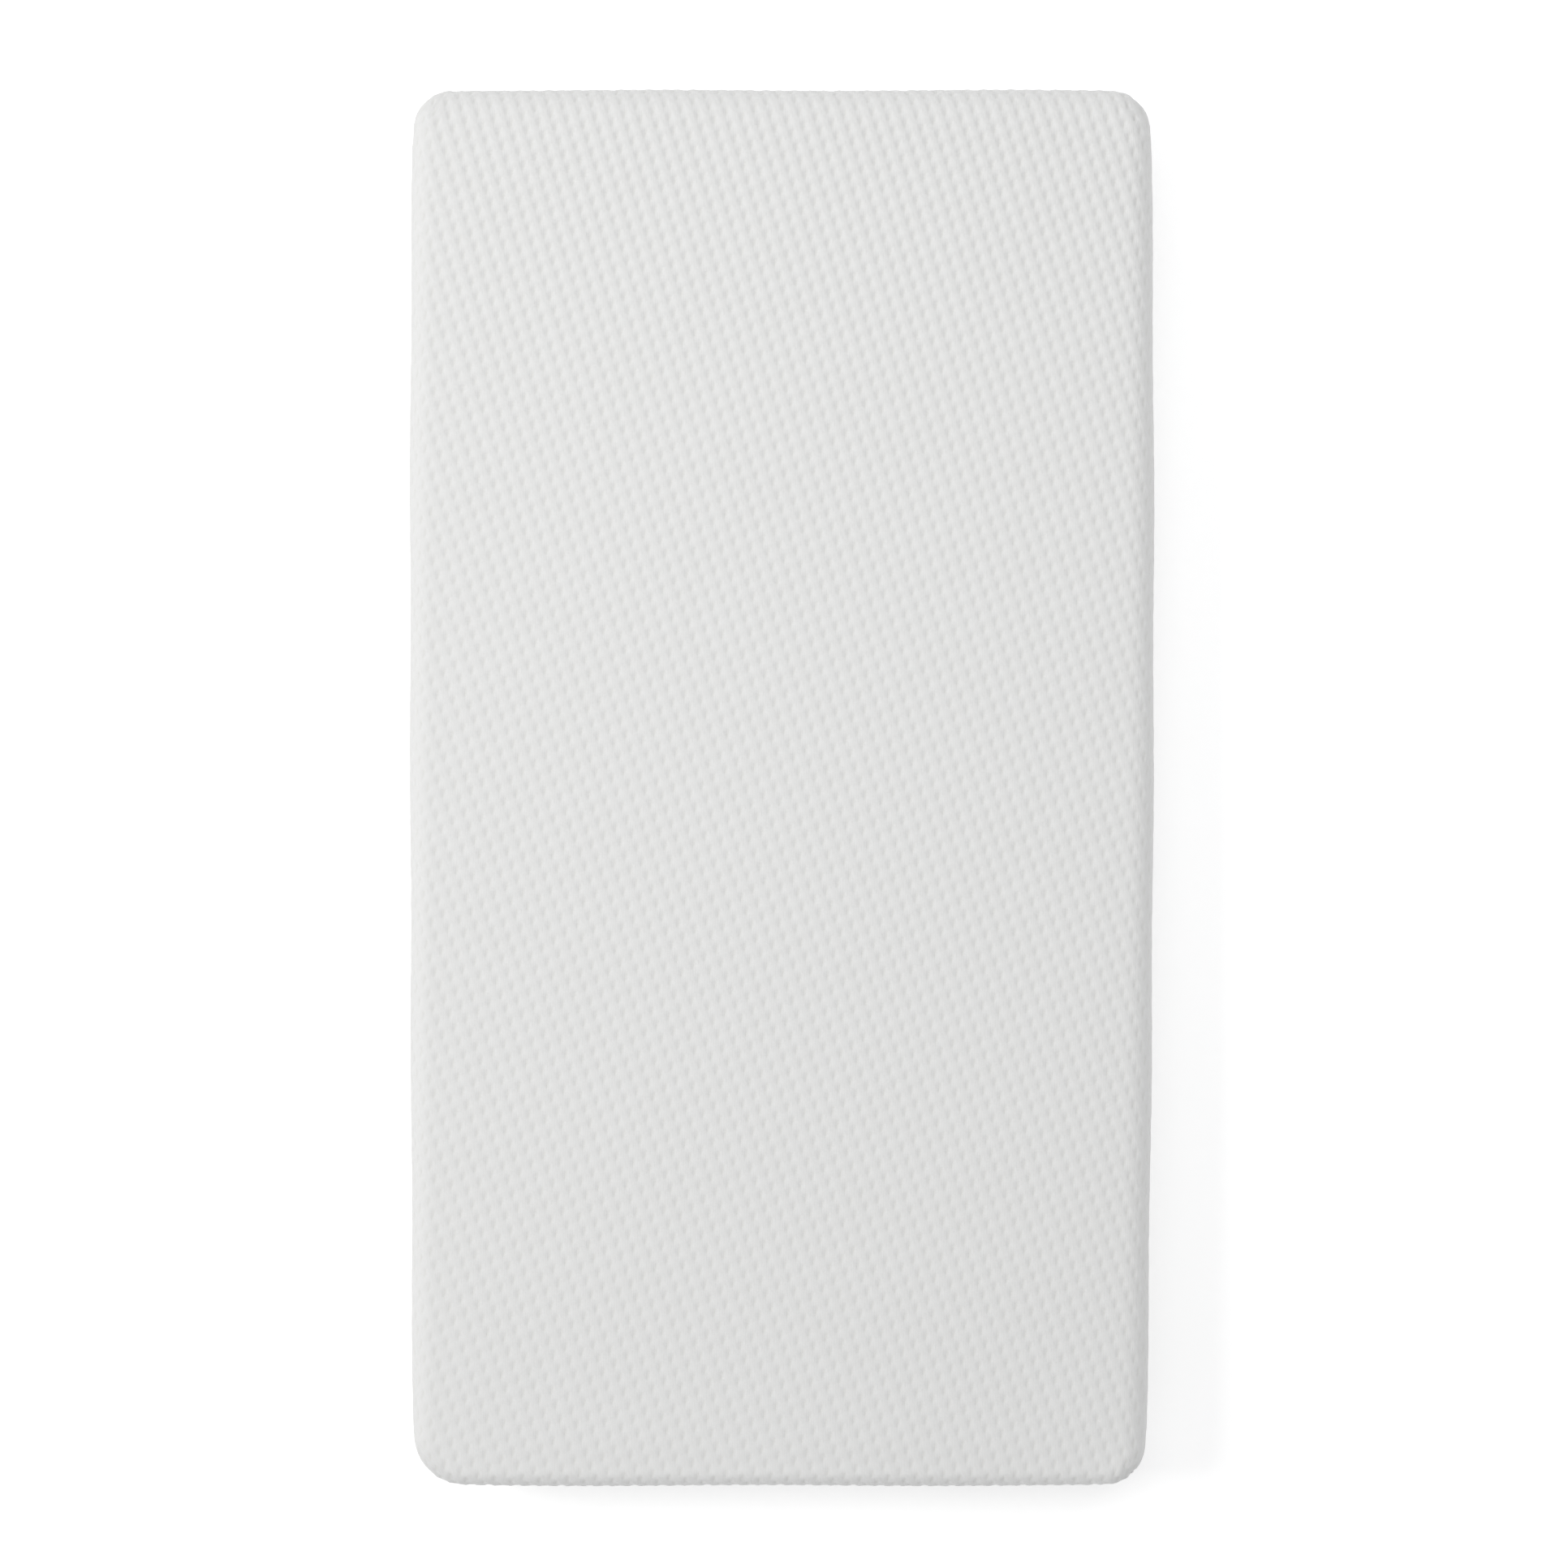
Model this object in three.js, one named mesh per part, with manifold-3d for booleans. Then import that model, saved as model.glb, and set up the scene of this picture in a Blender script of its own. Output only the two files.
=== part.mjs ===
// A memory foam cot mattress: two foam layers in a fire-barrier sock, inside a zip-off knitted cover.
// Millimetres, +Z up. The origin is at the centre of the underside, and +Y points to the head end.
import * as THREE from "three";
import { mergeVertices } from "three/addons/utils/BufferGeometryUtils.js";
import Module from "manifold-3d";

const wasm = await Module();
wasm.setup();

// ---- Driving dimensions ----

// The finished mattress.
const WIDTH = 698;
const LENGTH = 1311;
const HEIGHT = 140;
const CORNER_R = 44; // in plan
const ROLL_R = 20; // of the edges round the top and the underside

// The layers, from the outside in.
const FIT = 0.3; // between pieces that touch
const KNIT = 3; // the cover's quilted knit
const SEAM_ROOM = 2; // between the cover's walls and the sock, where seams and zip tape lie
const TOP_ROOM = 0.4; // between the cover and the sock, above and below
const SOCK = 1.2;
const SOCK_CORNER_R = 54; // the foam's corners are rounder than the cover's, which leaves room for its seams
const SOCK_ROLL_R = 15;
const MEMORY_FOAM = 32;

// The line round the walls where the cover's two halves meet.
const SEAM_Z = 30;
const SEAM_DEPTH = 8;
const SEAM_THICKNESS = 1.4;
const CORNER_SEAM = { width: 2.4, depth: 5.5 };

// The zip, in its own frame: u runs along it, v across it and w out of the wall, from the tape's outer face.
const ZIP_X = WIDTH / 2 - KNIT - 3.3;
const TAPE = { half: 596, width: 14, thickness: 0.6 };
const SLIT = 0.5; // from the zip's middle to each tape and coil, so that the slider's wedge can pass
const COIL = { half: 575, width: 2.6, low: FIT, high: 2.5 };
const STOP = { length: 3, width: 2.9, high: 2.7 };
const SLOT = { half: 604, height: 5.5 }; // the gap in the cover where the zip shows; height is to each side
const HEM = 8; // the folded edge of the cover beside the slot
const END_TAB = { length: 11.7, height: 5.2, high: 1.8 };
const GROOVE = { half: 616, height: 16, floor: -2.1 }; // the hollow that the zip presses into the filling

// The slider and its pull.
const SLIDER = { length: 12, width: 9, corner: 2, front: 2.8, frontTop: 3.8, back: -1.7, backTop: -0.9 };
const FLANGE = 1.1;
const WEDGE = { from: 1.5, to: 5, half: 0.2 };
const BRIDGE = { half: 4.4, post: 1.6, width: 1.8, top: 6.3, beam: 1.1, corner: 1.3 };
const SLIDER_U = 568; // the slider's middle when the zip is shut
const PULL = { axis: 4.5, r: 0.55, half: 3.2, arm: 1.2, window: 4.6, length: 24, tip: 2.6, hole: 1.2 };

// The labels hang from the seam.
const LABEL = { thickness: 0.5, drop: 24, gap: 0.6 };
const CARE_LABEL = { width: 32, along: -380 };
const LAW_LABEL = { width: 56, along: 180 };

// The sock's open end, and the flap that shuts it.
const SOCK_MOUTH = { half: 290, low: 50, high: 100 };
const SOCK_FLAP = { half: 305, low: 38, high: 112, thickness: 0.9 };

// How finely the round parts are faceted.
const CORNER_STEPS = 5;
const ROLL_STEPS = 5;
const SMALL_STEPS = 3;

// ---- Looks ----

const cloth = (color, roughness = 0.9) => new THREE.MeshStandardMaterial({ color, roughness, metalness: 0 });
const KNIT_WHITE = cloth(0xe6e6e3);
const SOCK_WHITE = cloth(0xefece4);
const MEMORY_CREAM = cloth(0xf0e8cf, 0.8);
const SUPPORT_WHITE = cloth(0xf4f3ee, 0.8);
const TAPE_WHITE = cloth(0xf1f1ef);
const COIL_WHITE = cloth(0xececea, 0.45);
const THREAD_WHITE = cloth(0xf3f3f0);
const LABEL_WHITE = cloth(0xf6f6f4, 0.5);
const SLIDER_ENAMEL = new THREE.MeshStandardMaterial({ color: 0xe9e9e7, roughness: 0.3, metalness: 0.1 });
const STOP_METAL = new THREE.MeshStandardMaterial({ color: 0xd5d5d3, roughness: 0.35, metalness: 0.8 });

// ---- Tools ----

const group = new THREE.Group();

// A three.js geometry as a solid that can be joined and cut.
function solidOf(geometry) {
  const bare = geometry.index ? geometry.toNonIndexed() : geometry.clone();
  bare.deleteAttribute("normal");
  bare.deleteAttribute("uv");
  const merged = mergeVertices(bare, 1e-4);
  const vertProperties = merged.attributes.position.array;
  const triVerts = new Uint32Array(merged.index.array);
  return new wasm.Manifold(new wasm.Mesh({ numProp: 3, vertProperties, triVerts }));
}

function geometryOf(solid) {
  const { vertProperties, triVerts } = solid.getMesh();
  const geometry = new THREE.BufferGeometry();
  geometry.setAttribute("position", new THREE.BufferAttribute(vertProperties, 3));
  geometry.setIndex(new THREE.BufferAttribute(triVerts, 1));
  const faceted = geometry.toNonIndexed();
  faceted.computeVertexNormals();
  return faceted;
}

function add(parent, name, geometry, material) {
  const mesh = new THREE.Mesh(geometry, material);
  mesh.name = name;
  parent.add(mesh);
  return mesh;
}

function boxGeometry([x0, x1], [y0, y1], [z0, z1]) {
  const geometry = new THREE.BoxGeometry(x1 - x0, y1 - y0, z1 - z0);
  return geometry.translate((x0 + x1) / 2, (y0 + y1) / 2, (z0 + z1) / 2);
}

const box = (x, y, z) => solidOf(boxGeometry(x, y, z));

function roundedRectangle(width, length, r) {
  const x = width / 2 - r;
  const y = length / 2 - r;
  const shape = new THREE.Shape();
  shape.absarc(x, y, r, 0, Math.PI / 2);
  shape.absarc(-x, y, r, Math.PI / 2, Math.PI);
  shape.absarc(-x, -y, r, Math.PI, 1.5 * Math.PI);
  shape.absarc(x, -y, r, 1.5 * Math.PI, 2 * Math.PI);
  return shape;
}

// The mattress's own form, drawn in from its walls and faces: a block with round corners and rolled edges.
function slab({ walls, faces, cornerR, rollR }) {
  const width = WIDTH - 2 * walls;
  const length = LENGTH - 2 * walls;
  const outline = roundedRectangle(width - 2 * rollR, length - 2 * rollR, cornerR - rollR);
  const geometry = new THREE.ExtrudeGeometry(outline, {
    depth: HEIGHT - 2 * faces - 2 * rollR,
    bevelThickness: rollR,
    bevelSize: rollR,
    bevelSegments: ROLL_STEPS,
    curveSegments: CORNER_STEPS,
  });
  return solidOf(geometry.translate(0, 0, faces + rollR));
}

// Everything between two heights.
function between(low, high) {
  return box([-WIDTH, WIDTH], [-LENGTH, LENGTH], [low, high]);
}

// A box given in the zip's frame, as a solid in the mattress's frame.
function zipBox([u0, u1], [v0, v1], [w0, w1]) {
  return box([ZIP_X + w0, ZIP_X + w1], [u0, u1], [SEAM_Z + v0, SEAM_Z + v1]);
}

// ---- Filling ----

const sockWalls = KNIT + SEAM_ROOM;
const sockFaces = KNIT + TOP_ROOM;
const sockInset = SOCK + FIT;

// The sock's outer form, drawn in by some depth, with the hollow where the zip presses in.
function fillingForm(depth) {
  const form = slab({
    walls: sockWalls + depth,
    faces: sockFaces + depth,
    cornerR: SOCK_CORNER_R - depth,
    rollR: SOCK_ROLL_R - depth,
  });
  const { half, height, floor } = GROOVE;
  const out = WIDTH / 2 - ZIP_X;
  const hollow = zipBox([-half - depth, half + depth], [-height - depth, height + depth], [floor - depth, out]);
  return form.subtract(hollow);
}

function addFilling() {
  const foam = fillingForm(sockInset);
  const top = HEIGHT - sockFaces - sockInset;
  const split = top - MEMORY_FOAM;
  const core = foam.intersect(between(0, split - FIT / 2));
  const comfort = foam.intersect(between(split + FIT / 2, HEIGHT));
  add(group, "support_core", geometryOf(core), SUPPORT_WHITE);
  add(group, "memory_foam_layer", geometryOf(comfort), MEMORY_CREAM);
}

function addSock() {
  const mouthWall = -LENGTH / 2 + sockWalls;
  const mouth = box(
    [-SOCK_MOUTH.half, SOCK_MOUTH.half],
    [mouthWall - SOCK, mouthWall + 2 * SOCK],
    [SOCK_MOUTH.low, SOCK_MOUTH.high],
  );
  const sock = fillingForm(0).subtract(fillingForm(SOCK)).subtract(mouth);
  add(group, "fire_barrier_sock", geometryOf(sock), SOCK_WHITE);

  const flap = boxGeometry(
    [-SOCK_FLAP.half, SOCK_FLAP.half],
    [mouthWall - FIT - SOCK_FLAP.thickness, mouthWall - FIT],
    [SOCK_FLAP.low, SOCK_FLAP.high],
  );
  add(group, "fire_barrier_flap", flap, SOCK_WHITE);
}

// ---- Cover ----

// Both halves of the cover before they are parted: a shell with a slot for the zip and a hem beside the slot.
function coverShell() {
  const outer = slab({ walls: 0, faces: 0, cornerR: CORNER_R, rollR: ROLL_R });
  const inner = slab({ walls: KNIT, faces: KNIT, cornerR: CORNER_R - KNIT, rollR: ROLL_R - KNIT });
  const { half, height } = SLOT;
  const cloth = WIDTH / 2 - ZIP_X - KNIT / 2;
  const hem = zipBox([-half - HEM, half + HEM], [-height - HEM, height + HEM], [FIT, cloth]);
  const slot = zipBox([-half, half], [-height, height], [-KNIT, 2 * KNIT + cloth]);
  return outer.subtract(inner).add(hem).subtract(slot);
}

function addCover() {
  const shell = coverShell();
  const upper = shell.intersect(between(SEAM_Z + FIT / 2, HEIGHT + 1));
  const lower = shell.intersect(between(-1, SEAM_Z - FIT / 2));
  add(group, "cover_top", geometryOf(upper), KNIT_WHITE);
  add(group, "cover_bottom", geometryOf(lower), KNIT_WHITE);
}

// The seam allowance that joins the cover's halves: a band inside the walls that stops at the zip's hem.
function addPerimeterSeam() {
  const ring = (walls) => {
    const outline = roundedRectangle(WIDTH - 2 * walls, LENGTH - 2 * walls, CORNER_R - walls);
    const options = { depth: SEAM_DEPTH, bevelEnabled: false, curveSegments: CORNER_STEPS };
    const geometry = new THREE.ExtrudeGeometry(outline, options);
    return solidOf(geometry.translate(0, 0, SEAM_Z - SEAM_DEPTH / 2));
  };
  const outside = KNIT + FIT;
  const end = SLOT.half + HEM + FIT;
  const opening = zipBox([-end, end], [-SEAM_DEPTH, SEAM_DEPTH], [-KNIT, 3 * KNIT]);
  const band = ring(outside).subtract(ring(outside + SEAM_THICKNESS)).subtract(opening);
  add(group, "perimeter_seam", geometryOf(band), THREAD_WHITE);
}

// Each upright corner seam is a tuck of cloth that stands in from the cover along the corner's diagonal.
function addCornerSeams() {
  const low = SEAM_Z + SEAM_DEPTH;
  const high = HEIGHT - ROLL_R;
  const { width, depth } = CORNER_SEAM;
  const middle = CORNER_R - KNIT - 2 * FIT - depth / 2;
  const corners = { head_right: [1, 1], head_left: [-1, 1], foot_left: [-1, -1], foot_right: [1, -1] };
  for (const [name, [sx, sy]] of Object.entries(corners)) {
    const tuck = roundedRectangle(depth, width, width / 3);
    const options = { depth: high - low, bevelEnabled: false, curveSegments: SMALL_STEPS };
    const geometry = new THREE.ExtrudeGeometry(tuck, options);
    const seam = add(group, `corner_seam_${name}`, geometry, THREAD_WHITE);
    seam.rotation.z = Math.atan2(sy, sx);
    seam.position.set(
      sx * (WIDTH / 2 - CORNER_R + middle * Math.SQRT1_2),
      sy * (LENGTH / 2 - CORNER_R + middle * Math.SQRT1_2),
      low,
    );
  }
}

// ---- Zip ----

function addZipRows(zip) {
  for (const [name, side] of Object.entries({ upper: 1, lower: -1 })) {
    const across = (from, to) => (side > 0 ? [from, to] : [-to, -from]);
    const tape = boxGeometry([-TAPE.half, TAPE.half], across(SLIT, SLIT + TAPE.width), [-TAPE.thickness, 0]);
    add(zip, `zip_tape_${name}`, tape, TAPE_WHITE);
    const coil = boxGeometry([-COIL.half, COIL.half], across(SLIT, SLIT + COIL.width), [COIL.low, COIL.high]);
    add(zip, `zip_coil_${name}`, coil, COIL_WHITE);
    const start = COIL.half + FIT;
    const stop = boxGeometry([start, start + STOP.length], across(SLIT, SLIT + STOP.width), [COIL.low, STOP.high]);
    add(zip, `zip_stop_head_${name}`, stop, STOP_METAL);
  }
}

function addZipEnds(zip) {
  const reach = SLIT + STOP.width;
  const start = COIL.half + FIT;
  const stop = boxGeometry([-start - STOP.length, -start], [-reach, reach], [COIL.low, STOP.high]);
  add(zip, "zip_stop_foot", stop, STOP_METAL);
  for (const [name, side] of Object.entries({ head: 1, foot: -1 })) {
    const outer = SLOT.half - FIT;
    const inner = outer - END_TAB.length;
    const along = side > 0 ? [inner, outer] : [-outer, -inner];
    const tab = boxGeometry(along, [-END_TAB.height, END_TAB.height], [FIT, END_TAB.high]);
    add(zip, `zip_end_tab_${name}`, tab, TAPE_WHITE);
  }
}

// Two plates joined by a thin wedge that runs between the coils, with flanges round the coils and a bridge on top.
function sliderGeometry() {
  const { length, width, corner, front, frontTop, back, backTop } = SLIDER;
  const plate = (low, high) => {
    const options = { depth: high - low, bevelEnabled: false, curveSegments: SMALL_STEPS };
    const geometry = new THREE.ExtrudeGeometry(roundedRectangle(length, width, corner), options);
    return solidOf(geometry.translate(0, 0, low));
  };
  const side = width / 2;
  const flangeHalf = length / 2 - corner;
  const overlap = (frontTop - front) / 2;
  const flange = (from, to) => box([-flangeHalf, flangeHalf], [from, to], [FIT, front + overlap]);
  const wedge = box([WEDGE.from, WEDGE.to], [-WEDGE.half, WEDGE.half], [back + overlap / 2, front + overlap]);
  return geometryOf(
    plate(front, frontTop)
      .add(plate(back, backTop))
      .add(flange(side - FLANGE, side))
      .add(flange(-side, FLANGE - side))
      .add(wedge)
      .add(bridge(frontTop - overlap)),
  );
}

// The arch that holds the pull, drawn from the side and extruded across the slider.
function bridge(foot) {
  const { half, post, width, top, beam, corner } = BRIDGE;
  const arch = new THREE.Shape();
  arch.moveTo(half, foot);
  arch.absarc(half - corner, top - corner, corner, 0, Math.PI / 2);
  arch.absarc(corner - half, top - corner, corner, Math.PI / 2, Math.PI);
  arch.lineTo(-half, foot);
  arch.lineTo(post - half, foot);
  arch.lineTo(post - half, top - beam);
  arch.lineTo(half - post, top - beam);
  arch.lineTo(half - post, foot);
  const options = { depth: width, bevelEnabled: false, curveSegments: SMALL_STEPS };
  const geometry = new THREE.ExtrudeGeometry(arch, options);
  return solidOf(geometry.translate(0, 0, -width / 2).rotateX(Math.PI / 2));
}

// The pull lies flat behind the slider. Its round bar, at the origin, turns under the bridge.
function pullGeometry() {
  const { r, half, arm, window, length, tip, hole } = PULL;
  const outline = new THREE.Shape();
  outline.moveTo(0, half);
  outline.lineTo(0, -half);
  outline.lineTo(-length + tip, -half);
  outline.absarc(-length + tip, tip - half, tip, 1.5 * Math.PI, Math.PI, true);
  outline.absarc(-length + tip, half - tip, tip, Math.PI, Math.PI / 2, true);
  const options = { depth: 2 * r, bevelEnabled: false, curveSegments: SMALL_STEPS };
  const plate = solidOf(new THREE.ExtrudeGeometry(outline, options).translate(0, 0, -r));
  const bay = box([-window, r], [arm - half, half - arm], [-2 * r, 2 * r]);
  const eye = new THREE.CylinderGeometry(hole, hole, 4 * r, 12).rotateX(Math.PI / 2);
  const bar = solidOf(new THREE.CylinderGeometry(r, r, 2 * half, 12));
  const hollows = bay.add(solidOf(eye.translate(-length + tip + hole, 0, 0)));
  return geometryOf(plate.subtract(hollows).add(bar));
}

function addZip() {
  const zip = new THREE.Group();
  const u = new THREE.Vector3(0, 1, 0);
  const v = new THREE.Vector3(0, 0, 1);
  const w = new THREE.Vector3(1, 0, 0);
  zip.setRotationFromMatrix(new THREE.Matrix4().makeBasis(u, v, w));
  zip.position.set(ZIP_X, 0, SEAM_Z);
  group.add(zip);
  addZipRows(zip);
  addZipEnds(zip);
  const runner = new THREE.Group();
  runner.position.x = SLIDER_U;
  zip.add(runner);
  add(runner, "zip_slider", sliderGeometry(), SLIDER_ENAMEL);
  const pull = add(runner, "zip_pull", pullGeometry(), SLIDER_ENAMEL);
  pull.position.z = PULL.axis;
}

// ---- Labels ----

function addLabels() {
  const { thickness, drop, gap } = LABEL;
  const care = new THREE.BoxGeometry(thickness, CARE_LABEL.width, drop);
  const careLabel = add(group, "care_label", care, LABEL_WHITE);
  const z = SEAM_Z - gap - drop / 2;
  careLabel.position.set(-WIDTH / 2 - FIT - thickness / 2, CARE_LABEL.along, z);
  const law = new THREE.BoxGeometry(LAW_LABEL.width, thickness, drop);
  const lawLabel = add(group, "law_label", law, LABEL_WHITE);
  lawLabel.position.set(LAW_LABEL.along, -LENGTH / 2 - FIT - thickness / 2, z);
}

addFilling();
addSock();
addCover();
addPerimeterSeam();
addCornerSeams();
addZip();
addLabels();

export default group;
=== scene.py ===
"""The looks of a foam cot mattress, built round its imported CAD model.

Metres, +Z up, +Y to the head end. The cover's cloth is worked out flat, as u and v from its middle, and is
then laid over a form. The zip has its own frame: u along it, v up across it, w out of the wall.
"""

import math
from dataclasses import dataclass

import bmesh
import bpy
import numpy as np
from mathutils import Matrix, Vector


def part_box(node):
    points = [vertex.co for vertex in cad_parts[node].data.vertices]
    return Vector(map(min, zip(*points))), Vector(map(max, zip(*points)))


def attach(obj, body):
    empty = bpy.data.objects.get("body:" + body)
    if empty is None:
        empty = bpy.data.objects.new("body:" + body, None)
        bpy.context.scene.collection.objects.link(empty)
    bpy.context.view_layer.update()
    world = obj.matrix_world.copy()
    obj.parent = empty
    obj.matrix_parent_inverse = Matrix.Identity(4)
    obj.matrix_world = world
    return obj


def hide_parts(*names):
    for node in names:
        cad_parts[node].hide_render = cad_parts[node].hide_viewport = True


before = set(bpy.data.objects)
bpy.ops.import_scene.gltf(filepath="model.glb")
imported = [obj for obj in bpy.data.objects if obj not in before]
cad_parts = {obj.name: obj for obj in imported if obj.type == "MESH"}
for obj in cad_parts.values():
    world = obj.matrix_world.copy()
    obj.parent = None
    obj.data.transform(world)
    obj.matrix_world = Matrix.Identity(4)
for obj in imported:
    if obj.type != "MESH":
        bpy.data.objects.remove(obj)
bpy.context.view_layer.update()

MM = 0.001
ROOT = "mattress"
UP, OUT, FOOTWARD = (0, 0, 1), (1, 0, 0), (0, -1, 0)  # OUT is out of the wall that the zip is in


# ---- Places, from the frame ----


def low(node):
    return Vector(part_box(node)[0])


def high(node):
    return Vector(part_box(node)[1])


SEAM_Z = (low("cover_top").z + high("cover_bottom").z) / 2
TOP_Z = high("cover_top").z
ZIP_X = high("zip_tape_upper").x
COIL_HALF = high("zip_coil_upper").y
SLOT_HALF = high("zip_end_tab_head").y + 0.3 * MM
SLOT_GAP = 5.5 * MM  # from the zip's middle to each edge of its slot
SLOT_TAPER = 24 * MM
RIM_SNAP = 1.2 * MM  # a point this near to the rim is put on it
CORNER_NAMES = ("head_right", "head_left", "foot_left", "foot_right")
CORNER_SIDES = np.array([[1, 1], [-1, 1], [-1, -1], [1, -1]])
WALL_EASE = 1.0 * MM  # the walls crown outwards by this much, so their edges start this much inside
HALF = np.array([high("cover_top").x - WALL_EASE, high("cover_top").y - WALL_EASE])

# ---- The knit's pattern ----

# Dimples lie at the corners and the middle of cells this big, turned clockwise.
DIMPLE_CELL = np.array([16.3, 21.75]) * MM
DIMPLE_TURN = math.radians(-18.3)
DIMPLE_STEPS = 4  # mesh steps from one dimple to the next
# The waves that the knit's height is made of: how many to a row and to a column, how high, and how much
# more so towards the head and at the head, where the cloth is slacker.
KNIT_WAVES = (
    (1, 0, 0.56, 0.0, 0.7),
    (0, 1, 0.325, 0.42, 0.75),
    (1, 1, 0.31, 0.08, 0.7),
)
# Finer waves, too fine for the mesh, as bump: how many to a row and to a column, and how high.
FINE_WAVES = ((2, 0, 0.06 * MM), (2, 1, 0.029 * MM), (2, -1, 0.05 * MM))

_cos, _sin = math.cos(DIMPLE_TURN), math.sin(DIMPLE_TURN)
_short = DIMPLE_CELL[0] * np.array([_cos, _sin])
_long = DIMPLE_CELL[1] * np.array([-_sin, _cos])
ROW = (_short + _long) / 2  # from a dimple to the next one, up to the right
COLUMN = (_short - _long) / 2  # and to the next one down its column
TO_PHASE = np.linalg.inv(np.column_stack([ROW, COLUMN]))


def drift(flat):
    """How far the stretched cloth has shifted its pattern at each place."""
    u, v = flat[:, 0], flat[:, 1]
    du = 7 * MM * np.sin(2.1 * v + 0.6) + 2.5 * MM * np.sin(5.3 * v + 3.1 * u + 1.0)
    dv = 5 * MM * np.sin(3.4 * u + 1.2 * v) + 1.5 * MM * np.sin(7.0 * u - 4.0 * v)
    return np.stack([du, dv], axis=1)


def phase_of(flat):
    """Counts of dimples along ROW and COLUMN. Dimples are where both are whole numbers."""
    return (flat + drift(flat)) @ TO_PHASE.T


def relief(phase, headward):
    """The knit's height, lowest in its dimples. headward is 1 at the head and -1 at the foot."""
    s, t = 2 * math.pi * phase[:, 0], 2 * math.pi * phase[:, 1]
    at_head = np.maximum(headward, 0) ** 2
    height = 0
    for m, n, share, rise, head_rise in KNIT_WAVES:
        height = height - share * (1 + rise * headward + head_rise * at_head) * np.cos(m * s + n * t)
    return height


# ---- Grids ----


def grid_quads(index):
    """The quads between the points of a grid, whose numbers index holds."""
    return np.stack([index[:-1, :-1], index[1:, :-1], index[1:, 1:], index[:-1, 1:]], axis=-1).reshape(-1, 4)


def ring_quads(index):
    """The quads between rings of points. Each row of index is one ring."""
    turned = np.roll(index, -1, axis=1)
    return np.stack([index[:-1], turned[:-1], turned[1:], index[1:]], axis=-1).reshape(-1, 4)


def compact(faces, count):
    """The numbers of the points that some faces use, out of so many, and the faces renumbered to match."""
    used = np.unique(faces)
    number = np.full(count, -1)
    number[used] = np.arange(len(used))
    return used, number[faces]


# ---- Laying cloth over a form ----


@dataclass
class Form:
    """A block with round corners in plan, and an edge that rolls from its face down to its walls."""

    half: np.ndarray
    corner: tuple  # plan radii at the head's right and left and the foot's left and right
    roll: tuple  # how far the roll reaches in from the right, left, head and foot
    rise: float  # how far the roll reaches down the walls
    face: float  # the face's height
    rim: float  # the height where the walls stop

    @property
    def up(self):
        return 1.0 if self.face > self.rim else -1.0


def smooth(x, start, end):
    t = np.clip((x - start) / (end - start), 0, 1)
    return t * t * (3 - 2 * t)


def slot_gap(y):
    """How far a seam's edge draws back from the seam line to clear the zip."""
    return SLOT_GAP * (1 - smooth(np.abs(y), SLOT_HALF - SLOT_TAPER / 2, SLOT_HALF + SLOT_TAPER / 2))


def radius_at(corners, side):
    """The plan radius of the corner that each point is nearest to."""
    right, head = side[:, 0] > 0, side[:, 1] > 0
    head_right, head_left, foot_left, foot_right = corners
    return np.where(head, np.where(right, head_right, head_left), np.where(right, foot_right, foot_left))


def lay(form, flat):
    """Lays flat cloth over a form. Gives each point's place, normal and whereabouts."""
    side = np.where(flat < 0, -1.0, 1.0)
    corner = radius_at(form.corner, side)
    centre = form.half - corner[:, None]
    p = np.abs(flat) - centre
    nearer_x = p[:, 0] >= p[:, 1]
    m = p.max(axis=1)
    in_corner = (p > 0).all(axis=1)
    eighth = np.clip(p.min(axis=1) / np.maximum(m, 1e-9), 0, 1) * math.pi / 4
    phi = np.where(in_corner, eighth, 0)
    phi = np.where(nearer_x, phi, math.pi / 2 - phi)
    right, left, head, foot = form.roll
    roll_x = np.where(side[:, 0] > 0, right, left)
    roll_y = np.where(side[:, 1] > 0, head, foot)
    roll = roll_x * np.cos(phi) ** 2 + roll_y * np.sin(phi) ** 2
    arc = math.pi / 2 * np.sqrt((roll**2 + form.rise**2) / 2)
    start = corner - roll
    wall = abs(form.face - form.rim) - form.rise
    on_zip_side = nearer_x & (side[:, 0] > 0)
    wall = wall - np.where(on_zip_side, slot_gap(flat[:, 1]), 0)
    end = start + arc + wall
    beyond = m >= end - RIM_SNAP
    m = np.where(beyond, end, m)
    s = m - start
    theta = np.clip(s / arc, 0, 1) * math.pi / 2
    out = np.where(s < 0, m, start + roll * np.sin(theta))
    fall = form.rise * (1 - np.cos(theta)) + np.maximum(s - arc, 0)
    direction = np.stack([np.cos(phi), np.sin(phi)], axis=1)
    straight = np.abs(flat)
    straight = np.where(np.stack([nearer_x, ~nearer_x], axis=1), centre + out[:, None], straight)
    plan = np.where(in_corner[:, None], centre + out[:, None] * direction, straight) * side
    n_out, n_up = np.sin(theta) / roll, np.cos(theta) / form.rise
    scale = 1 / np.hypot(n_out, n_up)
    normal = np.column_stack([direction * side * (n_out * scale)[:, None], form.up * n_up * scale])
    return {
        "place": np.column_stack([plan, form.face - form.up * fall]),
        "normal": normal,
        "outward": np.column_stack([direction * side, np.zeros(len(flat))]),
        "beyond": beyond,
        "m": m,
        "phi": phi,
        "along": s / arc,  # 0 where the roll starts, 1 where the wall starts
        "to_rim": end - m,
        "in_corner": in_corner,
        "corner": corner,
        "centre": centre,
        "side": side,
        "flat": flat,
        "nearer_x": nearer_x,
    }


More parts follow.
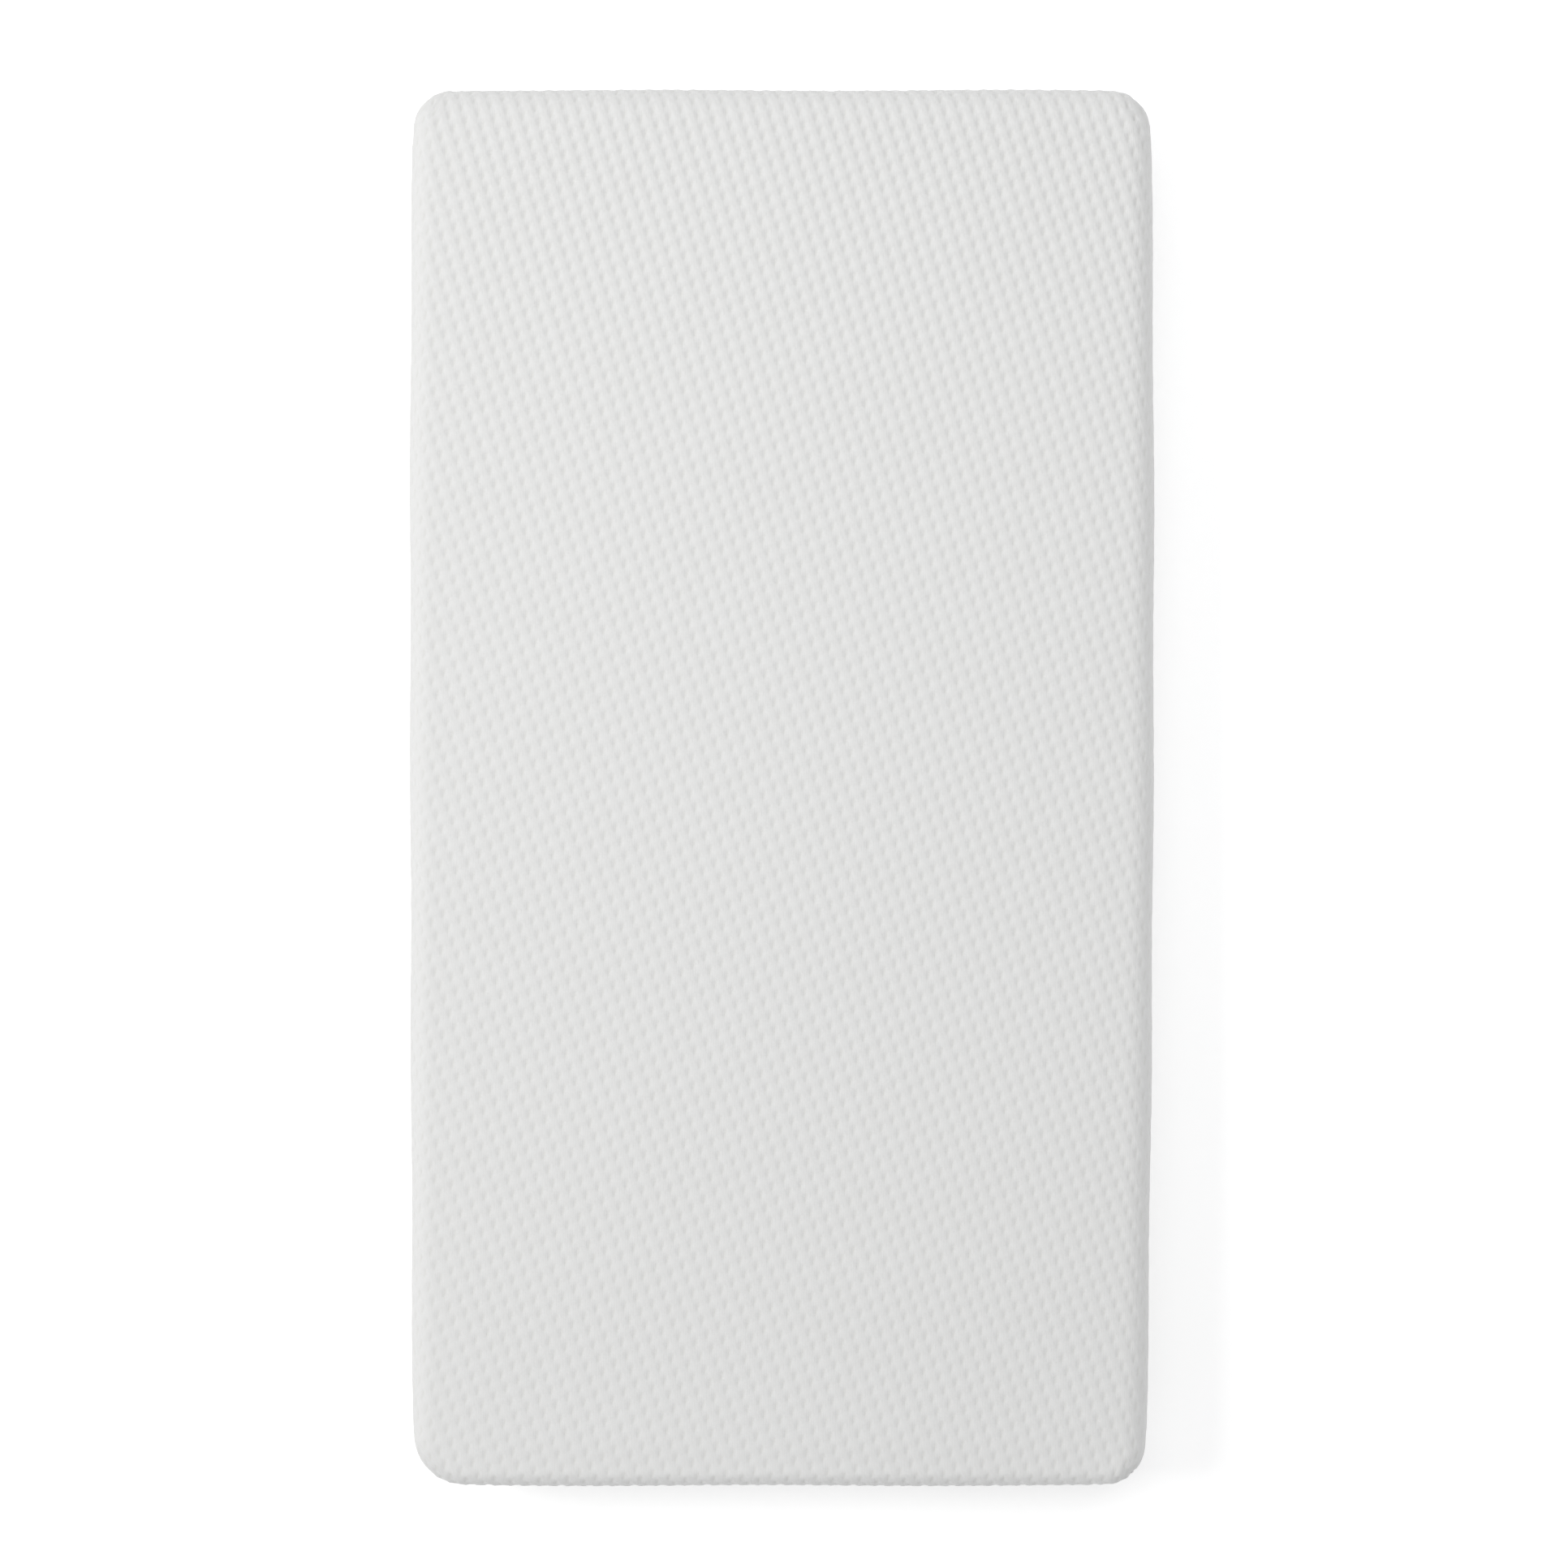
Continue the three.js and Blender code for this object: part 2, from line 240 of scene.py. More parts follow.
def cloth_place(laid, nearer_x):
    """Where on the flat cloth each point is. The walls' cloth is cut at the corner seams, so there it runs
    along the wall that the point is taken to be on."""
    m, phi, corner = laid["m"], laid["phi"], laid["corner"]
    radial = laid["centre"] + m[:, None] * np.stack([np.cos(phi), np.sin(phi)], axis=1)
    on_x = laid["centre"] + np.stack([m, corner * phi], axis=1)
    on_y = laid["centre"] + np.stack([corner * (math.pi / 2 - phi), m], axis=1)
    wall = np.where(nearer_x[:, None], on_x, on_y)
    weight = smooth(laid["along"], 0, 1)[:, None]
    bent = (radial * (1 - weight) + wall * weight) * laid["side"]
    straight = laid["side"] * np.where(
        np.stack([laid["nearer_x"], ~laid["nearer_x"]], axis=1),
        laid["centre"] + m[:, None],
        np.abs(laid["flat"]),
    )
    return np.where(laid["in_corner"][:, None], bent, straight)


def grid_over(form, row, column, steps, shift=None):
    """The corners and quads of a grid along two directions, over all of a form's cloth."""
    reach = form.half + abs(form.face - form.rim) + form.rise
    to_index = np.linalg.inv(np.column_stack([row, column])) * steps
    ends = np.array([[x, y] for x in (-1, 1) for y in (-1, 1)]) * reach @ to_index.T
    first, last = np.floor(ends.min(axis=0)).astype(int), np.ceil(ends.max(axis=0)).astype(int)
    i, j = np.meshgrid(np.arange(first[0], last[0] + 1), np.arange(first[1], last[1] + 1), indexing="ij")
    target = (i.reshape(-1, 1) * row + j.reshape(-1, 1) * column) / steps
    flat = target.copy()
    for _ in range(4 if shift else 0):
        flat = target - shift(flat)
    quads = grid_quads(np.arange(i.size).reshape(i.shape))
    near = (np.abs(flat) < reach).all(axis=1)
    quads = quads[near[quads].any(axis=1)]
    return flat, quads


def keep_used(laid, quads):
    """Drops the quads that lie wholly past the rim, and the points that no quad uses."""
    used, quads = compact(quads[~laid["beyond"][quads].all(axis=1)], len(laid["m"]))
    return {key: value[used] for key, value in laid.items()}, quads, used


def face_up(points, quads, normals):
    """Turns the quads so that they face along the given normals."""
    a, b, c, d = (points[quads[:, k]] for k in range(4))
    flip = (np.cross(c - a, d - b) * normals[quads].sum(axis=1)).sum(axis=1) < 0
    quads[flip] = quads[flip][:, ::-1]
    return quads


# ---- Making objects ----


def placed(name, data):
    thing = bpy.data.objects.new(name, data)
    bpy.context.collection.objects.link(thing)
    return thing


def make_object(name, points, faces, material, node=None, slot=None, body=ROOT):
    """A smooth mesh that rides on a body. It stands for a CAD node, if one is named."""
    mesh = bpy.data.meshes.new(name)
    mesh.from_pydata([tuple(p) for p in points], [], [tuple(f) for f in faces])
    mesh.materials.append(material)
    mesh.polygons.foreach_set("use_smooth", [True] * len(mesh.polygons))
    mesh.update()
    piece = placed(name, mesh)
    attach(piece, body)
    if node:
        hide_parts(node)
    return piece


def set_uv(piece, name, per_corner):
    layer = piece.data.uv_layers.new(name=name)
    layer.data.foreach_set("uv", np.asarray(per_corner, dtype=np.float32).ravel())


def vertex_normals(piece):
    normals = np.empty(len(piece.data.vertices) * 3)
    piece.data.vertices.foreach_get("normal", normals)
    return normals.reshape(-1, 3)


def sweep(path, side, up, section):
    """Carries an outline along a path. side and up are the outline's directions at each point."""
    section = np.broadcast_to(section, (len(path), *np.shape(section)[-2:]))
    points = path[:, None] + side[:, None] * section[:, :, :1] + up[:, None] * section[:, :, 1:]
    index = np.arange(points.shape[0] * points.shape[1]).reshape(points.shape[:2])
    faces = [tuple(quad) for quad in ring_quads(index).tolist()]
    faces += [tuple(index[0].tolist())[::-1], tuple(index[-1].tolist())]
    return points.reshape(-1, 3), faces


def unit(vectors):
    return vectors / np.linalg.norm(vectors, axis=1)[:, None]


def repeated(direction, count):
    return np.tile(np.asarray(direction, dtype=float), (count, 1))


def tube(path, radius, sides=6):
    """A round thread along a line of points, with round ends."""
    ahead = unit(np.gradient(path, axis=0))
    path = np.vstack([path[0] - ahead[0] * radius * 0.6, path, path[-1] + ahead[-1] * radius * 0.6])
    ahead = np.vstack([ahead[:1], ahead, ahead[-1:]])
    radii = np.full(len(path), radius)
    radii[[0, -1]] *= 0.45
    side = unit(np.cross(ahead, [0.31, 0.22, 0.92]))
    turn = np.arange(sides) * 2 * math.pi / sides
    circle = np.stack([np.cos(turn), np.sin(turn)], axis=1)
    return sweep(path, side, np.cross(ahead, side), circle * radii[:, None, None])


def rounded_strip(width, thickness, steps=4):
    """The outline of a flat strip with round edges."""
    r = thickness / 2
    turn = np.linspace(-math.pi / 2, math.pi / 2, steps + 1)
    cap = np.stack([width / 2 - r + r * np.cos(turn), r * np.sin(turn)], axis=1)
    return np.vstack([cap, -cap])


def thin_sheet(grid, depth):
    """A closed sheet of cloth from a grid of points, thickened by a vector."""
    rows, columns = grid.shape[:2]
    front = np.arange(rows * columns).reshape(rows, columns)
    back = front + rows * columns
    faces = []
    for index, step in ((front, 1), (back, -1)):
        faces += [tuple(quad)[::step] for quad in grid_quads(index).tolist()]
    border = np.concatenate([front[0, :-1], front[:-1, -1], front[-1, :0:-1], front[:0:-1, 0]])
    for a, b in zip(border.tolist(), np.roll(border, -1).tolist()):
        faces.append((a, b, b + rows * columns, a + rows * columns))
    points = grid.reshape(-1, 3)
    return np.vstack([points + depth / 2, points - depth / 2]), faces


def joined(parts):
    """Several lists of points and faces as one."""
    points, faces, offset = [], [], 0
    for part_points, part_faces in parts:
        points.append(part_points)
        faces.extend(tuple(i + offset for i in face) for face in part_faces)
        offset += len(part_points)
    return np.vstack(points), faces


def turn_outwards(shape):
    bmesh.ops.recalc_face_normals(shape, faces=shape.faces)


def join_facets(shape):
    bmesh.ops.dissolve_limit(shape, angle_limit=math.radians(1), verts=shape.verts, edges=shape.edges)


def weld(piece, finish=turn_outwards):
    """Welds a piece's doubled points, and then finishes its shape."""
    shape = bmesh.new()
    shape.from_mesh(piece.data)
    bmesh.ops.remove_doubles(shape, verts=shape.verts, dist=1e-6)
    finish(shape)
    shape.to_mesh(piece.data)
    shape.free()
    return piece


def box_uv(piece, name):
    """Lays a UV map on a piece from the side that each of its faces looks to, in metres."""
    axes = {0: (1, 2), 1: (0, 2), 2: (0, 1)}
    uv = []
    for face in piece.data.polygons:
        across, along = axes[int(np.argmax(np.abs(face.normal)))]
        for corner in face.vertices:
            place = piece.data.vertices[corner].co
            uv.append((place[across], place[along]))
    set_uv(piece, name, uv)


def refined(node, material, body=ROOT, bevel=0.22 * MM):
    """A CAD node's own shape, with its facets joined and its edges rounded."""
    piece = placed(f"{node}_finished", bpy.data.objects[node].data.copy())
    weld(piece, join_facets)
    rounding = piece.modifiers.new("rounding", "BEVEL")
    rounding.width = bevel
    rounding.segments = 3
    rounding.limit_method = "ANGLE"
    rounding.angle_limit = math.radians(38)
    finished = bpy.data.meshes.new_from_object(piece.evaluated_get(bpy.context.evaluated_depsgraph_get()))
    piece.modifiers.clear()
    piece.data = finished
    finished.materials.clear()
    finished.materials.append(material)
    finished.polygons.foreach_set("use_smooth", [True] * len(finished.polygons))
    finished.set_sharp_from_angle(angle=math.radians(40))
    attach(piece, body)
    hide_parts(node)
    return piece


# ---- Materials ----

KNIT_PUFF = (0.75, 0.752, 0.748)
KNIT_PLAIN = (0.73, 0.73, 0.722)
# Painted shade: a darker, warmer colour in the knit's dimples, where shade falls.
KNIT_HOLE_PAINTED_SHADE = (0.60, 0.597, 0.555)
KNIT_HOLE_SHADE_SHOWS = 0.24  # how much of the painted shade in the dimples shows
KNIT_LOOP = (1.15 * MM, 0.85 * MM)  # from one wale to the next, and from one course to the next
# What narrows the dimples' painted shade and their dips: waves to a row and to a column, and how strongly
# each narrows them.
HOLE_WAVES = ((1, 0, 2.3), (0, 1, 1.3), (1, 1, 1.3), (1, -1, -1.0))


class Surface:
    """A material's node tree, with short ways to add to it."""

    def __init__(self, name, **settings):
        self.material = bpy.data.materials.new(name)
        self.material.use_nodes = True
        self.tree = self.material.node_tree
        self.shader = self.tree.nodes["Principled BSDF"]
        for key, value in settings.items():
            self.shader.inputs[key.replace("_", " ")].default_value = value
        self.bumped = None

    def add(self, kind, *inputs, **settings):
        node = self.tree.nodes.new(kind)
        for key, value in settings.items():
            setattr(node, key, value)
        for socket, value in zip(node.inputs, inputs):
            self.feed(socket, value)
        return node

    def feed(self, socket, value):
        if isinstance(value, bpy.types.NodeSocket):
            self.tree.links.new(value, socket)
        elif value is not None:
            socket.default_value = value

    def math(self, operation, *inputs):
        return self.add("ShaderNodeMath", *inputs, operation=operation).outputs[0]

    def blend(self, first, share, second, other_share):
        return self.math("MULTIPLY_ADD", first, share, self.math("MULTIPLY", second, other_share))

    def uv(self, name):
        split = self.add("ShaderNodeSeparateXYZ", self.add("ShaderNodeUVMap", uv_map=name).outputs[0])
        return split.outputs[0], split.outputs[1]

    def place(self):
        split = self.add("ShaderNodeSeparateXYZ", self.add("ShaderNodeTexCoord").outputs["Object"])
        return split.outputs[0], split.outputs[1], split.outputs[2]

    def noise(self, scale, detail=2.0):
        node = self.add("ShaderNodeTexNoise")
        self.feed(node.inputs["Vector"], self.add("ShaderNodeTexCoord").outputs["Object"])
        node.inputs["Scale"].default_value = scale
        node.inputs["Detail"].default_value = detail
        return node.outputs[0]

    def mix(self, factor, first, second):
        node = self.add("ShaderNodeMix", data_type="RGBA")
        colours = [s for s in node.inputs if s.type == "RGBA"]
        self.feed(node.inputs[0], factor)
        for socket, value in zip(colours, (first, second)):
            self.feed(socket, (*value, 1) if isinstance(value, tuple) else value)
        return next(s for s in node.outputs if s.type == "RGBA")

    def colour(self, value):
        self.feed(self.shader.inputs["Base Color"], value)

    def bump(self, height, distance):
        node = self.add("ShaderNodeBump")
        self.feed(node.inputs["Height"], height)
        node.inputs["Distance"].default_value = distance
        if self.bumped:
            self.feed(node.inputs["Normal"], self.bumped)
        self.bumped = node.outputs[0]
        self.feed(self.shader.inputs["Normal"], self.bumped)

    def wave(self, x, pitch):
        """A cosine along x, from -1 to 1."""
        return self.math("COSINE", self.math("MULTIPLY", x, 2 * math.pi / pitch))

    def stitches(self, x, y, wale, course):
        """The height of plain knit, with wales a step apart along x and courses along y."""
        across = self.math("MULTIPLY", x, math.pi / wale)
        rib = self.math("POWER", self.math("ABSOLUTE", self.math("COSINE", across)), 0.6)
        slant = self.math("MULTIPLY", self.math("ABSOLUTE", self.math("SINE", across)), 2.2)
        rows = self.math("COSINE", self.math("MULTIPLY_ADD", y, 2 * math.pi / course, slant))
        return self.math("MULTIPLY_ADD", rows, 0.35, rib)


def knit_surface():
    """The cover's bubble knit, with painted shade in its dimples. Its UV map counts dimples."""
    surface = Surface("bubble_knit", Roughness=0.88, Sheen_Weight=0.25, Sheen_Roughness=0.45, IOR=1.42,
                      Specular_IOR_Level=0.25)
    s, t = surface.uv("dimples")
    # The dimples' mask: it carries both their painted shade and their dip in the bump.
    narrow = 0.0
    for m, n, weight in HOLE_WAVES:
        wave = surface.wave(surface.blend(s, m, t, n), 1.0)
        narrow = surface.math("ADD", surface.math("MULTIPLY_ADD", wave, weight, -weight), narrow)
    hole_shade_and_dip = surface.math("EXPONENT", narrow)
    puff = surface.mix(surface.noise(60.0, 3.0), KNIT_PUFF, KNIT_PLAIN)
    # Painted shade: the dimples take the darker, warmer colour.
    surface.colour(surface.mix(surface.math("MULTIPLY", hole_shade_and_dip, KNIT_HOLE_SHADE_SHOWS), puff, KNIT_HOLE_PAINTED_SHADE))
    x, y = (surface.blend(s, ROW[axis], t, COLUMN[axis]) for axis in (0, 1))
    surface.bump(surface.stitches(x, y, *KNIT_LOOP), 0.12 * MM)
    surface.bump(surface.math("MULTIPLY", hole_shade_and_dip, -1.0), 0.1 * MM)
    for m, n, height in FINE_WAVES:
        wave = surface.wave(surface.blend(s, m, t, n), 1.0)
        surface.bump(surface.math("MULTIPLY", wave, -1.0), height)
    surface.bump(surface.noise(900.0), 0.05 * MM)
    return surface.material


def plain_knit_surface(name, colour, shade, wale, course):
    """A fine plain knit, such as the underside's or the fire barrier's."""
    surface = Surface(name, Roughness=0.9, Sheen_Weight=0.2, Sheen_Roughness=0.5, Specular_IOR_Level=0.25)
    u, v = surface.uv("cloth")
    surface.colour(surface.mix(surface.noise(45.0, 3.0), colour, shade))
    surface.bump(surface.stitches(u, v, wale, course), 0.16 * MM)
    surface.bump(surface.noise(700.0), 0.06 * MM)
    return surface.material


def foam_surface(name, colour, shade, cell):
    """Cut open-cell foam: fine round pores with painted shade in them, and a slightly uneven tone."""
    surface = Surface(name, Roughness=0.95, Subsurface_Weight=0.1, Specular_IOR_Level=0.2)
    pores = surface.add("ShaderNodeTexVoronoi")
    surface.feed(pores.inputs["Vector"], surface.add("ShaderNodeTexCoord").outputs["Object"])
    pores.inputs["Scale"].default_value = 1 / cell
    depth = surface.math("SMOOTH_MIN", pores.outputs["Distance"], 0.5, 0.2)
    # Painted shade: the pores are coloured darker where they dip.
    surface.colour(surface.mix(depth, shade, surface.mix(surface.noise(14.0), colour, shade)))
    surface.bump(depth, cell * 0.5)
    return surface.material


def woven_surface(name, colour, shade, pitch, gloss=0.6):
    """Narrow woven tape or satin: fine slanted ribs, with painted shade in their grooves."""
    surface = Surface(name, Roughness=gloss, Sheen_Weight=0.15)
    x, y, z = surface.place()
    ribs = surface.wave(surface.math("MULTIPLY_ADD", z, 0.8, surface.math("ADD", y, x)), pitch)
    cross = surface.wave(z, pitch * 0.6)
    # Painted shade and light: the ribs' grooves are coloured darker and their crests lighter.
    surface.colour(surface.mix(surface.math("MULTIPLY_ADD", ribs, 0.3, 0.5), shade, colour))
    surface.bump(surface.math("MULTIPLY_ADD", cross, 0.4, ribs), 0.05 * MM)
    return surface.material


def thread_surface():
    surface = Surface("sewing_thread", Roughness=0.6, Sheen_Weight=0.2)
    x, y, z = surface.place()
    twist = surface.wave(surface.math("ADD", surface.math("ADD", x, y), z), 0.45 * MM)
    # Painted light and shade: the twist's ridges are coloured lighter and its grooves darker.
    lit = surface.math("MULTIPLY_ADD", twist, 0.5, 0.5)
    surface.colour(surface.mix(lit, (0.72, 0.72, 0.70), (0.86, 0.86, 0.85)))
    surface.bump(twist, 0.05 * MM)
    return surface.material


def nylon_surface():
    surface = Surface("zip_nylon", Roughness=0.28, Subsurface_Weight=0.15, Coat_Weight=0.2)
    surface.colour(surface.mix(surface.noise(120.0), (0.80, 0.80, 0.79), (0.86, 0.86, 0.86)))
    surface.bump(surface.noise(2500.0, 1.0), 0.01 * MM)
    return surface.material


def enamel_surface():
    """White enamel on die-cast metal, with a little orange peel."""
    surface = Surface("zip_enamel", Coat_Weight=0.5, Coat_Roughness=0.08)
    worn = surface.math("MULTIPLY_ADD", surface.noise(220.0, 4.0), 0.35, 0.1)
    surface.feed(surface.shader.inputs["Roughness"], worn)
    surface.colour(surface.mix(surface.noise(90.0, 4.0), (0.80, 0.80, 0.79), (0.74, 0.74, 0.72)))
    surface.bump(surface.noise(1400.0), 0.012 * MM)
    return surface.material


def stamped_surface():
    surface = Surface("stamped_metal", Metallic=1.0)
    brushed = surface.noise(1500.0, 3.0)
    surface.feed(surface.shader.inputs["Roughness"], surface.math("MULTIPLY_ADD", brushed, 0.3, 0.2))
    surface.colour(surface.mix(brushed, (0.62, 0.62, 0.61), (0.75, 0.75, 0.74)))
    surface.bump(brushed, 0.01 * MM)
    return surface.material


# ---- The cover ----

CORNERS = (35 * MM, 34 * MM, 45 * MM, 36 * MM)  # in the order of CORNER_NAMES
LIP_R, LIP_STEPS, LIP_TURN = 1.15 * MM, 5, math.radians(150)  # the rolled edge next to the seam
COVER_TOP = Form(
    half=HALF,
    corner=CORNERS,
    roll=(25 * MM, 20 * MM, 29 * MM, 13 * MM),
    rise=22 * MM,
    face=TOP_Z,
    rim=SEAM_Z + LIP_R,
)
COVER_BOTTOM = Form(
    half=HALF,
    corner=CORNERS,
    roll=(18 * MM,) * 4,
    rise=16 * MM,
    face=0.0,
    rim=SEAM_Z - LIP_R,
)
RELIEF = 1.4 * MM  # of the knit's puffs and dimples
WALL_SWAY = 0.5 * MM  # how far the walls wander in and out
FACE_UNEVEN = 0.45 * MM  # how far the sleeping face does up and down
# How much relief the edges' roll leaves: along the sides, at the head and at the foot.
SLACK_SIDE, SLACK_HEAD, SLACK_FOOT = 0.25, 0.5, 0.7
SEAM_DEPTHS = (0.4 * MM, 0.2 * MM, 0.3 * MM, 1.8 * MM)  # how far each corner seam pulls the cloth in
SEAM_VALLEY = 3.6 * MM  # how wide that valley is, to each side
SEAM_PUCKER = 11 * MM  # how far its puckers reach
SEAM_FLAT = 6 * MM  # how far it flattens the knit
SEAM_BEGINS = (0.35, 0.95)  # the shares of the edge's roll between which a corner seam deepens
BELLY_Y = 0.22  # the mattress is widest here
# How steeply the long sides draw in from there, towards the head and towards the foot.
BOW_RIGHT = (16 * MM, 10 * MM)
BOW_LEFT = (16 * MM, 4 * MM)
BOW_RISES = (45 * MM, 95 * MM)  # the heights between which the long sides' bow grows to its full amount
STITCH_INSET = 2.4 * MM  # from the cover's folded edge
FOLD_R = 0.8 * MM  # of the cloth rolled in at each corner seam
SWELL_STEP = 14 * MM  # between the points of the copy that is simulated
SWELL_FRAMES = 16
SWELL_CAP = 2.0 * MM


def bow(places):
    """How far the long sides draw in towards the ends, as the stretched knit pulls them. Down by the seam
    they stay straight, with the zip."""
    x, y, z = places.T
    right, left = (np.where(y > BELLY_Y, *bows) for bows in (BOW_RIGHT, BOW_LEFT))
    amount = np.where(x > 0, right, left) * (y - BELLY_Y) ** 2
    return -np.sign(x) * amount * smooth(np.abs(x), 0.0, HALF[0]) * smooth(z, *BOW_RISES)


def bowed(points):
    points = points.copy()
    points[:, 0] += bow(points)
    return points


def settle(laid, form):
    """The soft form before any knit: crowned walls that wander a little, long sides that draw in, and an
    uneven sleeping face.
    """
    place = laid["place"].copy()
    x, y, z = place.T
    wall_share = np.clip(laid["along"], 0, 1)
    height = abs(form.face - form.rim)
    down = np.clip(np.abs(z - form.face) / height, 0, 1)
    crown = WALL_EASE * np.sin(math.pi * down) ** 0.8 * wall_share
    sway = WALL_SWAY * np.sin(19 * x + 23 * y + 1.3) * wall_share
    place += laid["outward"] * (crown + sway)[:, None]
    place[:, 0] += bow(laid["place"])
    if form.up > 0:
        face_share = 1 - wall_share
        hollows = np.sin(9 * x + 2) * np.sin(7.5 * y + 1) + 0.6 * np.sin(15 * x - 11 * y)
        place[:, 2] += FACE_UNEVEN * hollows * face_share
    return place


def corner_seam_shape(laid):
    """The valleys where the upright corner seams lie, and how much of the knit's relief they leave."""
    arc = laid["corner"] * (laid["phi"] - math.pi / 4)
    begins = smooth(laid["along"], *SEAM_BEGINS) * laid["in_corner"]
    valley = np.exp(-((arc / SEAM_VALLEY) ** 2))
    pucker = np.sin(laid["m"] * 2 * math.pi / (9 * MM)) * np.exp(-((arc / SEAM_PUCKER) ** 2))
    deep = radius_at(SEAM_DEPTHS, laid["side"])
    depth = begins * (0.2 * MM * pucker - deep * valley)
    return depth, 1 - begins * np.exp(-((arc / SEAM_FLAT) ** 2))


def stretch(laid):
    """How much relief is left where the cloth is pulled tight round the edges: least on the long sides."""
    along_side = np.cos(laid["phi"]) ** 2
    at_head = (1 - along_side) * (laid["side"][:, 1] > 0)
    at_foot = 1 - along_side - at_head
    slack = SLACK_SIDE * along_side + SLACK_HEAD * at_head + SLACK_FOOT * at_foot
    return 1 - (1 - slack) * smooth(laid["along"], -0.1, 0.75)


def rim_pull(laid):
    """Near the seam the cloth puckers towards it."""
    near = 1 - smooth(laid["to_rim"], 0, 9 * MM)
    length = laid["flat"].sum(axis=1)
    return near * 0.25 * MM * np.sin(length * 2 * math.pi / (8.5 * MM))


def curl_rim(points, faces, outward, on_rim, up):
    """Rolls a cover's raw edge inwards into a rounded lip. Gives the points and faces to add."""
    edges = {}
    for face in faces:
        for a, b in zip(face, np.roll(face, -1)):
            if on_rim[a] and on_rim[b]:
                key = (min(a, b), max(a, b))
                edges[key] = None if key in edges else (a, b)
    rim_edges = [edge for edge in edges.values() if edge and edge[0] != edge[1]]
    rim = sorted({i for edge in rim_edges for i in edge})
    index = {point: k for k, point in enumerate(rim)}
    rings, added = [], []
    base = points[rim]
    out = outward[rim]
    for step in range(1, LIP_STEPS + 1):
        turn = LIP_TURN * step / LIP_STEPS
        ring = base - out * (LIP_R * (1 - math.cos(turn)))
        ring[:, 2] -= up * LIP_R * math.sin(turn)
        rings.append(ring)
    count, first = len(rim), len(points)
    for a, b in rim_edges:
        previous = (a, b)
        for step in range(LIP_STEPS):
            here = (first + step * count + index[a], first + step * count + index[b])
            added.append((previous[1], previous[0], here[0], here[1]))
            previous = here
    return np.vstack([points, *rings]), added


class Swell:
    """The moves of a cover half blown up against its seams, by cloth simulation of a coarse copy of it."""

    def __init__(self, form):
        self.reach = form.half + abs(form.face - form.rim) + form.rise
        self.count = np.ceil(2 * self.reach / SWELL_STEP).astype(int) + 1
        axes = [np.linspace(-reach, reach, count) for reach, count in zip(self.reach, self.count)]
        x, y = np.meshgrid(*axes, indexing="ij")
        flat = np.stack([x.ravel(), y.ravel()], axis=1)
        laid, quads, used = keep_used(lay(form, flat), grid_quads(np.arange(len(flat)).reshape(x.shape)))
        before = settle(laid, form)
        moves = simulated(before, face_up(before, quads, laid["normal"]), hold_of(laid)) - before
        outward = np.maximum((moves * laid["normal"]).sum(axis=1), 0)  # the foam stops it going in
        moves = laid["normal"] * (SWELL_CAP * np.tanh(outward / SWELL_CAP))[:, None]
        self.moves = np.zeros((*self.count, 3))
        self.moves.reshape(-1, 3)[used] = moves

    def at(self, flat):
        """The moves at some places on the flat cloth."""
        place = (flat + self.reach) / (2 * self.reach) * (self.count - 1)
        corner = np.clip(np.floor(place).astype(int), 0, self.count - 2)
        fx, fy = (np.clip(place - corner, 0, 1).T)[:, :, None]
        i, j = corner.T
        near = self.moves[i, j] * (1 - fy) + self.moves[i, j + 1] * fy
        far = self.moves[i + 1, j] * (1 - fy) + self.moves[i + 1, j + 1] * fy
        return near * (1 - fx) + far * fx


def hold_of(laid):
    """How firmly points are held: wholly at the rim, well at the corner seams, and a little by the foam."""
    corner = laid["in_corner"] * smooth(laid["along"], 0.4, 1.0)
    corner = corner * np.exp(-((laid["phi"] - math.pi / 4) ** 2) / 0.05)
    held = np.maximum(0.9 * corner, 0.25 * (1 - smooth(laid["along"], 0.0, 0.8)) + 0.04)
    return np.where(laid["to_rim"] < SWELL_STEP * 0.6, 1.0, held)


def simulated(points, quads, hold):
    """Where Blender's cloth takes the points, held as much as hold says, with air pressed in behind."""
    mesh = bpy.data.meshes.new("swell")
    mesh.from_pydata(points.tolist(), [], quads.tolist())
    cloth = placed("swell", mesh)
    group = cloth.vertex_groups.new(name="held")
    for index, weight in enumerate(hold.tolist()):
        group.add([index], weight, "REPLACE")
    settings = cloth.modifiers.new("cloth", "CLOTH").settings
    settings.quality = 5
    settings.mass = 0.3
    settings.tension_stiffness = settings.compression_stiffness = 18
    settings.shear_stiffness = 8
    settings.bending_stiffness = 0.8
    settings.use_pressure = True
    settings.uniform_pressure_force = 3.0
    settings.effector_weights.gravity = 0
    settings.vertex_group_mass = "held"
    settings.pin_stiffness = 1.0
    for step in range(1, SWELL_FRAMES + 1):
        bpy.context.scene.frame_set(step)
    shape = cloth.evaluated_get(bpy.context.evaluated_depsgraph_get()).data
    moved = np.empty(len(points) * 3)
    shape.vertices.foreach_get("co", moved)
    bpy.data.objects.remove(cloth)
    bpy.context.scene.frame_set(1)
    return moved.reshape(-1, 3)


def cover_surface(form, laid, swell=None, raised=False):
    """Where a cover half's cloth lies, with everything but its curled rim."""
    place = settle(laid, form)
    if swell:
        place += swell.at(laid["flat"])
    height = rim_pull(laid)
    if raised:
        depth, left = corner_seam_shape(laid)
        phase = phase_of(cloth_place(laid, laid["nearer_x"]))
        flatten = smooth(laid["to_rim"], 1 * MM, 10 * MM) * left * stretch(laid)
        headward = np.clip(laid["place"][:, 1] / HALF[1], -1, 1)
        height = height + depth + RELIEF * flatten * relief(phase, headward)
    return place + laid["normal"] * height[:, None]


